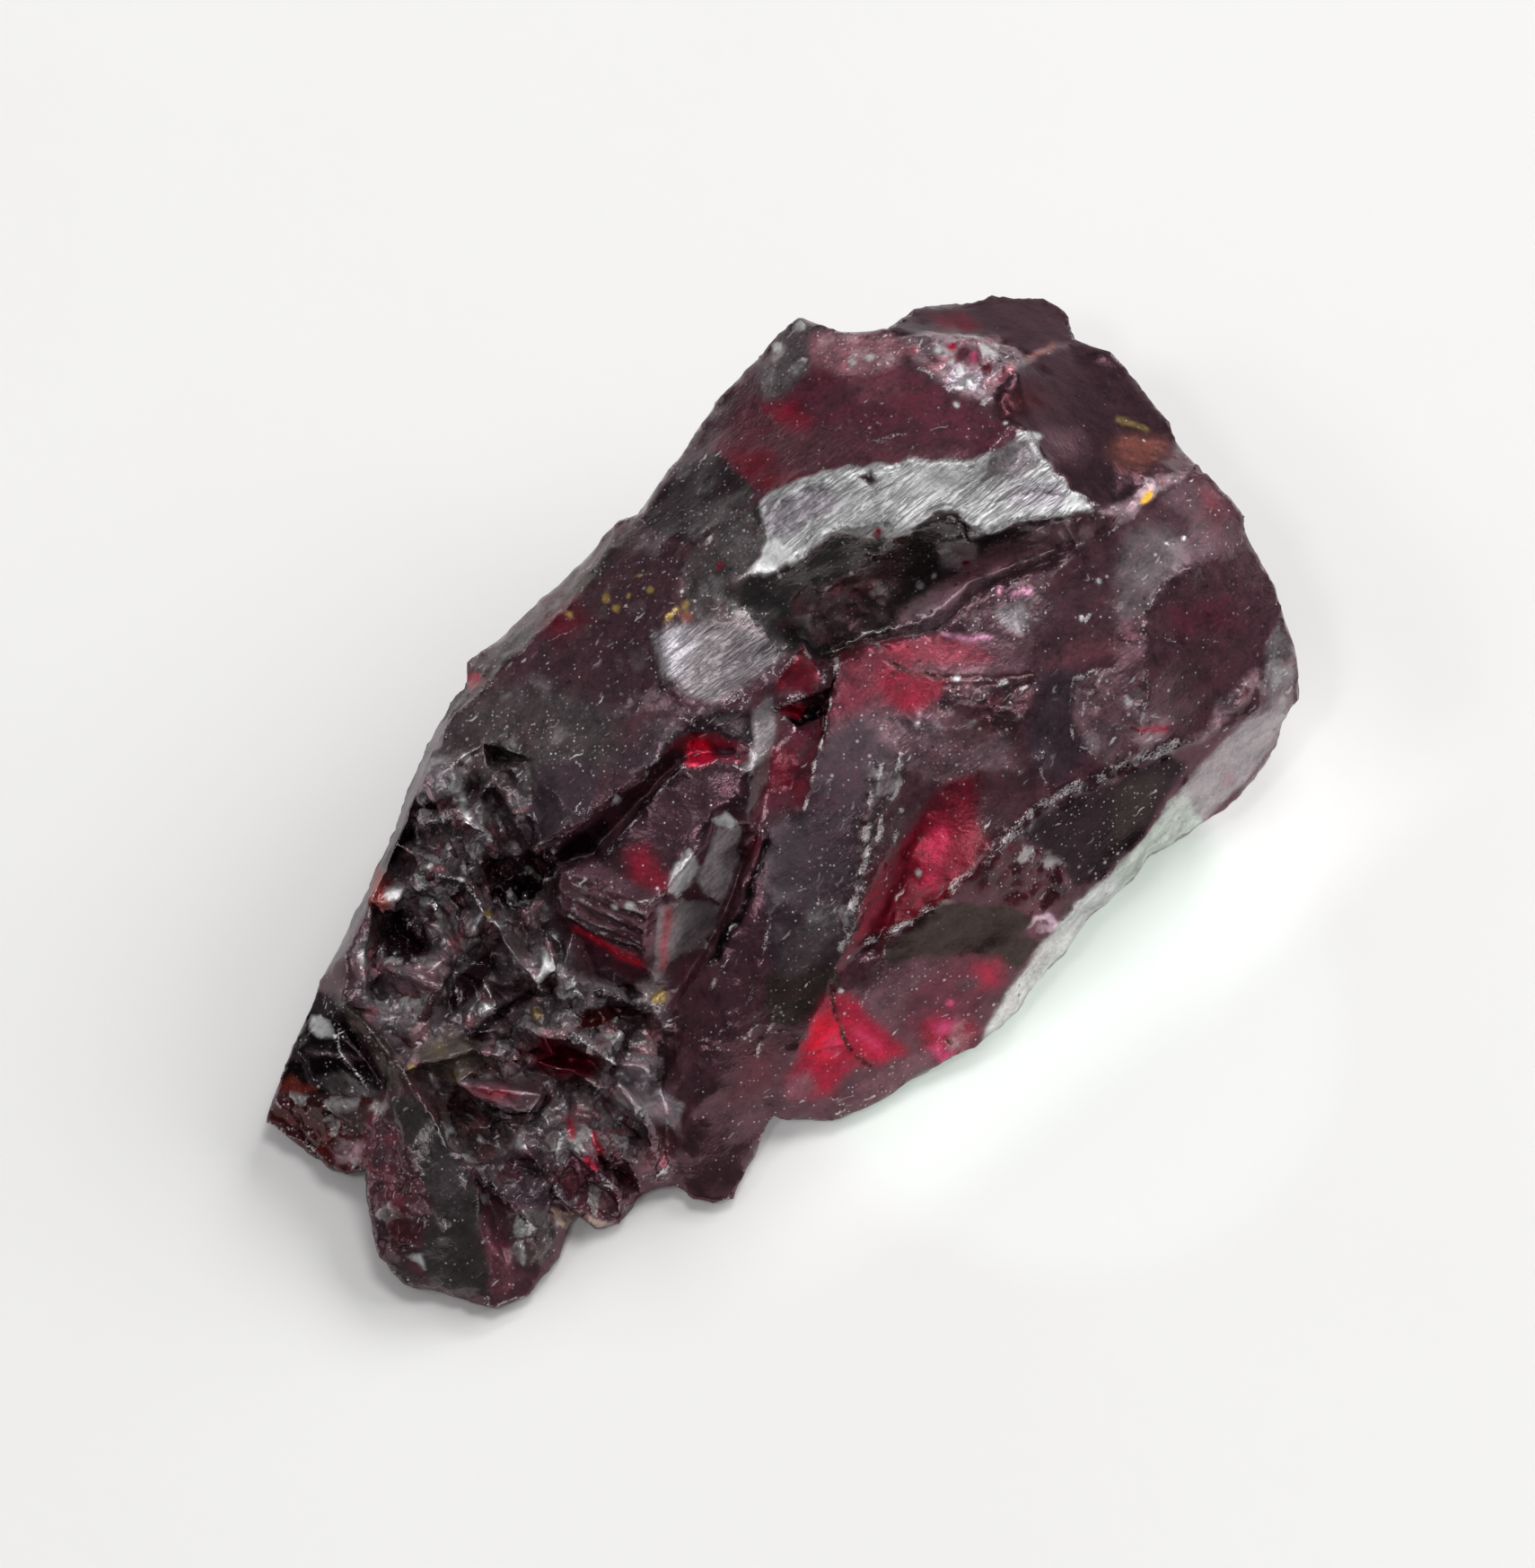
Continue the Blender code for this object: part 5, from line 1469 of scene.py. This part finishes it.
stone = set_down("painite_rough", stone_shape)
stone_mesh = stone.data
for name, values in (("pigment", pigment), ("finish", finish)):
    layer = stone_mesh.attributes.new(name, "FLOAT_COLOR", "POINT")
    layer.data.foreach_set("color", values)
stone_mesh.polygons.foreach_set("use_smooth", [True] * len(stone_mesh.polygons))

painite = bpy.data.materials.new("painite")
painite.use_nodes = True
bench = Bench(painite.node_tree)
# Its patterns are worked out in millimetres, turned square to the sight.
by_sight = {
    "Vector": bench.add("ShaderNodeTexCoord", {}, {}, "Object"),
    "Rotation": to_sight.to_euler(),
    "Scale": (1.0 / MM,) * 3,
    "Location": -(to_sight @ sight_middle) / MM,
}
turned = bench.add("ShaderNodeMapping", {}, by_sight)
streak_turn = (0.0, 0.0, math.radians(-38.0))
along = bench.add("ShaderNodeMapping", {}, {"Vector": turned, "Rotation": streak_turn})


def parts_of(colour):
    """The three channels of a colour."""
    return bench.add("ShaderNodeSeparateColor", {}, {0: colour}, 0, 1, 2)


def painted(name):
    """A painted attribute: its colour and its fourth value."""
    return bench.add("ShaderNodeAttribute", {"attribute_name": name}, {}, "Color", "Alpha")


def noise_of(place, scale, detail=3.0, rough=0.55, distortion=0.0):
    """Cloudy noise with features of this many to the millimetre."""
    feeds = {"Vector": place, "Scale": scale, "Detail": detail}
    feeds.update({"Roughness": rough, "Distortion": distortion})
    return bench.add("ShaderNodeTexNoise", {}, feeds)


def shifted(place, x, y, z):
    return bench.vector("ADD", place, (x, y, z))


def stretched(place, x, y, z):
    return bench.vector("MULTIPLY", place, (x, y, z))


def crumbs(place, scale, reach, share):
    """Small crumbs: this many cells to the millimetre, and what share of them holds one. Gives
    where they are, and a random value for each."""
    cells = {"Vector": place, "Scale": scale}
    gap, random = bench.add("ShaderNodeTexVoronoi", {}, cells, "Distance", "Color")
    pick, kind, _ = parts_of(random)
    inside = gap.faded(reach * 0.45, reach)
    return inside * (pick + share - 1.0).eased(0.0, 0.05), kind


paint, shine = painted("pigment")
worked, pale_line = painted("finish")
roughness, wrinkled, speckled = parts_of(worked)

cloud = noise_of(turned, 0.8, 3.0, 0.6)
fine_cloud = noise_of(shifted(turned, 7.0, 3.0, 1.0), 2.6, 4.0, 0.65)
grain = noise_of(turned, 11.0, 2.0, 0.6)
patchy = noise_of(shifted(turned, 6.0, 6.0, 2.0), 1.5, 2.0).eased(0.38, 0.62)
streaked = stretched(along, 0.5, 3.6, 1.6)
streak = noise_of(streaked, 1.0, 3.0, 0.62, 0.6)
wrinkle = noise_of(streaked, 2.6, 3.0, 0.6, 1.1)

# The paint, lighter and darker by the grain of the stone, with redder and duller places, and
# painted shade that darkens the creases of the wrinkles.
deep_red = (0.17, 0.014, 0.030)
dull_grey = (0.040, 0.036, 0.037)
crease_shade_grey = (0.06, 0.05, 0.055)
loose = 1.0 - shine * 0.5
grained = (cloud - 0.5) * 0.9 + (fine_cloud - 0.5) * 2.0 + (grain - 0.5) * 1.2
brightness = (0.90 + grained * loose + (streak - 0.5) * (wrinkled * 0.4 + 0.2)).most(0.25)
shade = bench.add(
    "ShaderNodeVectorMath", {"operation": "SCALE"}, {0: paint, "Scale": brightness}
)
redder = fine_cloud.eased(0.52, 0.68) * cloud.eased(0.42, 0.60)
even = (1.0 - shine) * (1.0 - speckled)
shade = bench.mixed(redder * even * 0.5, shade, deep_red)
duller = (1.0 - patchy) * streak.eased(0.45, 0.60)
shade = bench.mixed(duller * (1.0 - shine) * 0.45, shade, dull_grey)
# Painted shade in the creases of the wrinkles.
crease_shade = wrinkle.eased(0.54, 0.44) * wrinkled
shade = bench.mixed(crease_shade * 0.5, shade, crease_shade_grey)

# Crumbs of three sizes lie on it, half of the largest dark and the rest pale, and the skin has
# flaked off pale along the scratches and the ridges.
dark_crumb = (0.012, 0.009, 0.010)
pale_crumb = (0.88, 0.82, 0.84)
bending = bench.add("ShaderNodeCombineXYZ", {}, {"X": fine_cloud * 0.9, "Y": cloud * 1.2})
dashed = stretched(bench.vector("ADD", along, bending), 2.4, 9.5, 5.0)
specks, speck_kind = crumbs(turned, 10.5, 0.34, speckled * (patchy * 0.6 + 0.5) + 0.012)
dashes, dash_kind = crumbs(dashed, 1.0, 0.36, speckled * (0.42 - patchy * 0.25) + 0.006)
lumps, lump_kind = crumbs(shifted(turned, 3.0, 8.0, 5.0), 3.6, 0.20, speckled * 0.34 + 0.03)
dark_lumps = lumps * lump_kind.eased(0.45, 0.55)
pale_specks = specks * (speck_kind * speck_kind * 0.8 + 0.08)
pale_dashes = dashes * (dash_kind * dash_kind * 0.8 + 0.16)
pale_crumbs = pale_specks.most(pale_dashes).most((lumps - dark_lumps) * 0.65)
fleck = noise_of(stretched(along, 1.0, 2.1, 1.6), 16.0, 3.0, 0.7, 0.8)
flaked = (pale_line * 0.62 + fleck * 1.5 - 1.16).eased(0.0, 0.12)
pale = pale_crumbs.most(flaked * 0.85)
surface_colour = bench.mixed(dark_lumps * 0.7, shade, dark_crumb)
surface_colour = bench.mixed(pale, surface_colour, pale_crumb)

height = grain * 0.18 + fine_cloud * 0.55 + wrinkle * (0.02 + wrinkled) * 1.2
grain_bump = {"Height": height, "Strength": 1.0, "Distance": 0.03 * MM}
crystal = bench.add(
    "ShaderNodeBsdfPrincipled",
    {},
    {
        "Base Color": surface_colour,
        "Metallic": shine + (0.9 - shine) * pale,
        "Roughness": (roughness + grain * 0.12 - 0.06 + pale * 0.4).least(0.8).most(0.04),
        "Normal": bench.add("ShaderNodeBump", {}, grain_bump),
        "IOR": 1.79,
        "Specular IOR Level": 0.3,
        "Specular Tint": (0.52, 0.50, 0.52, 1.0),
        "Transmission Weight": 0.52,
    },
)
inside_red = {"Color": (0.76, 0.02, 0.09, 1.0), "Density": 900.0}
depth = bench.add("ShaderNodeVolumeAbsorption", {}, inside_red)
bench.add("ShaderNodeOutputMaterial", {}, {"Surface": crystal, "Volume": depth})
stone_mesh.materials.append(painite)
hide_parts("painite_crystal")
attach(stone, "root")
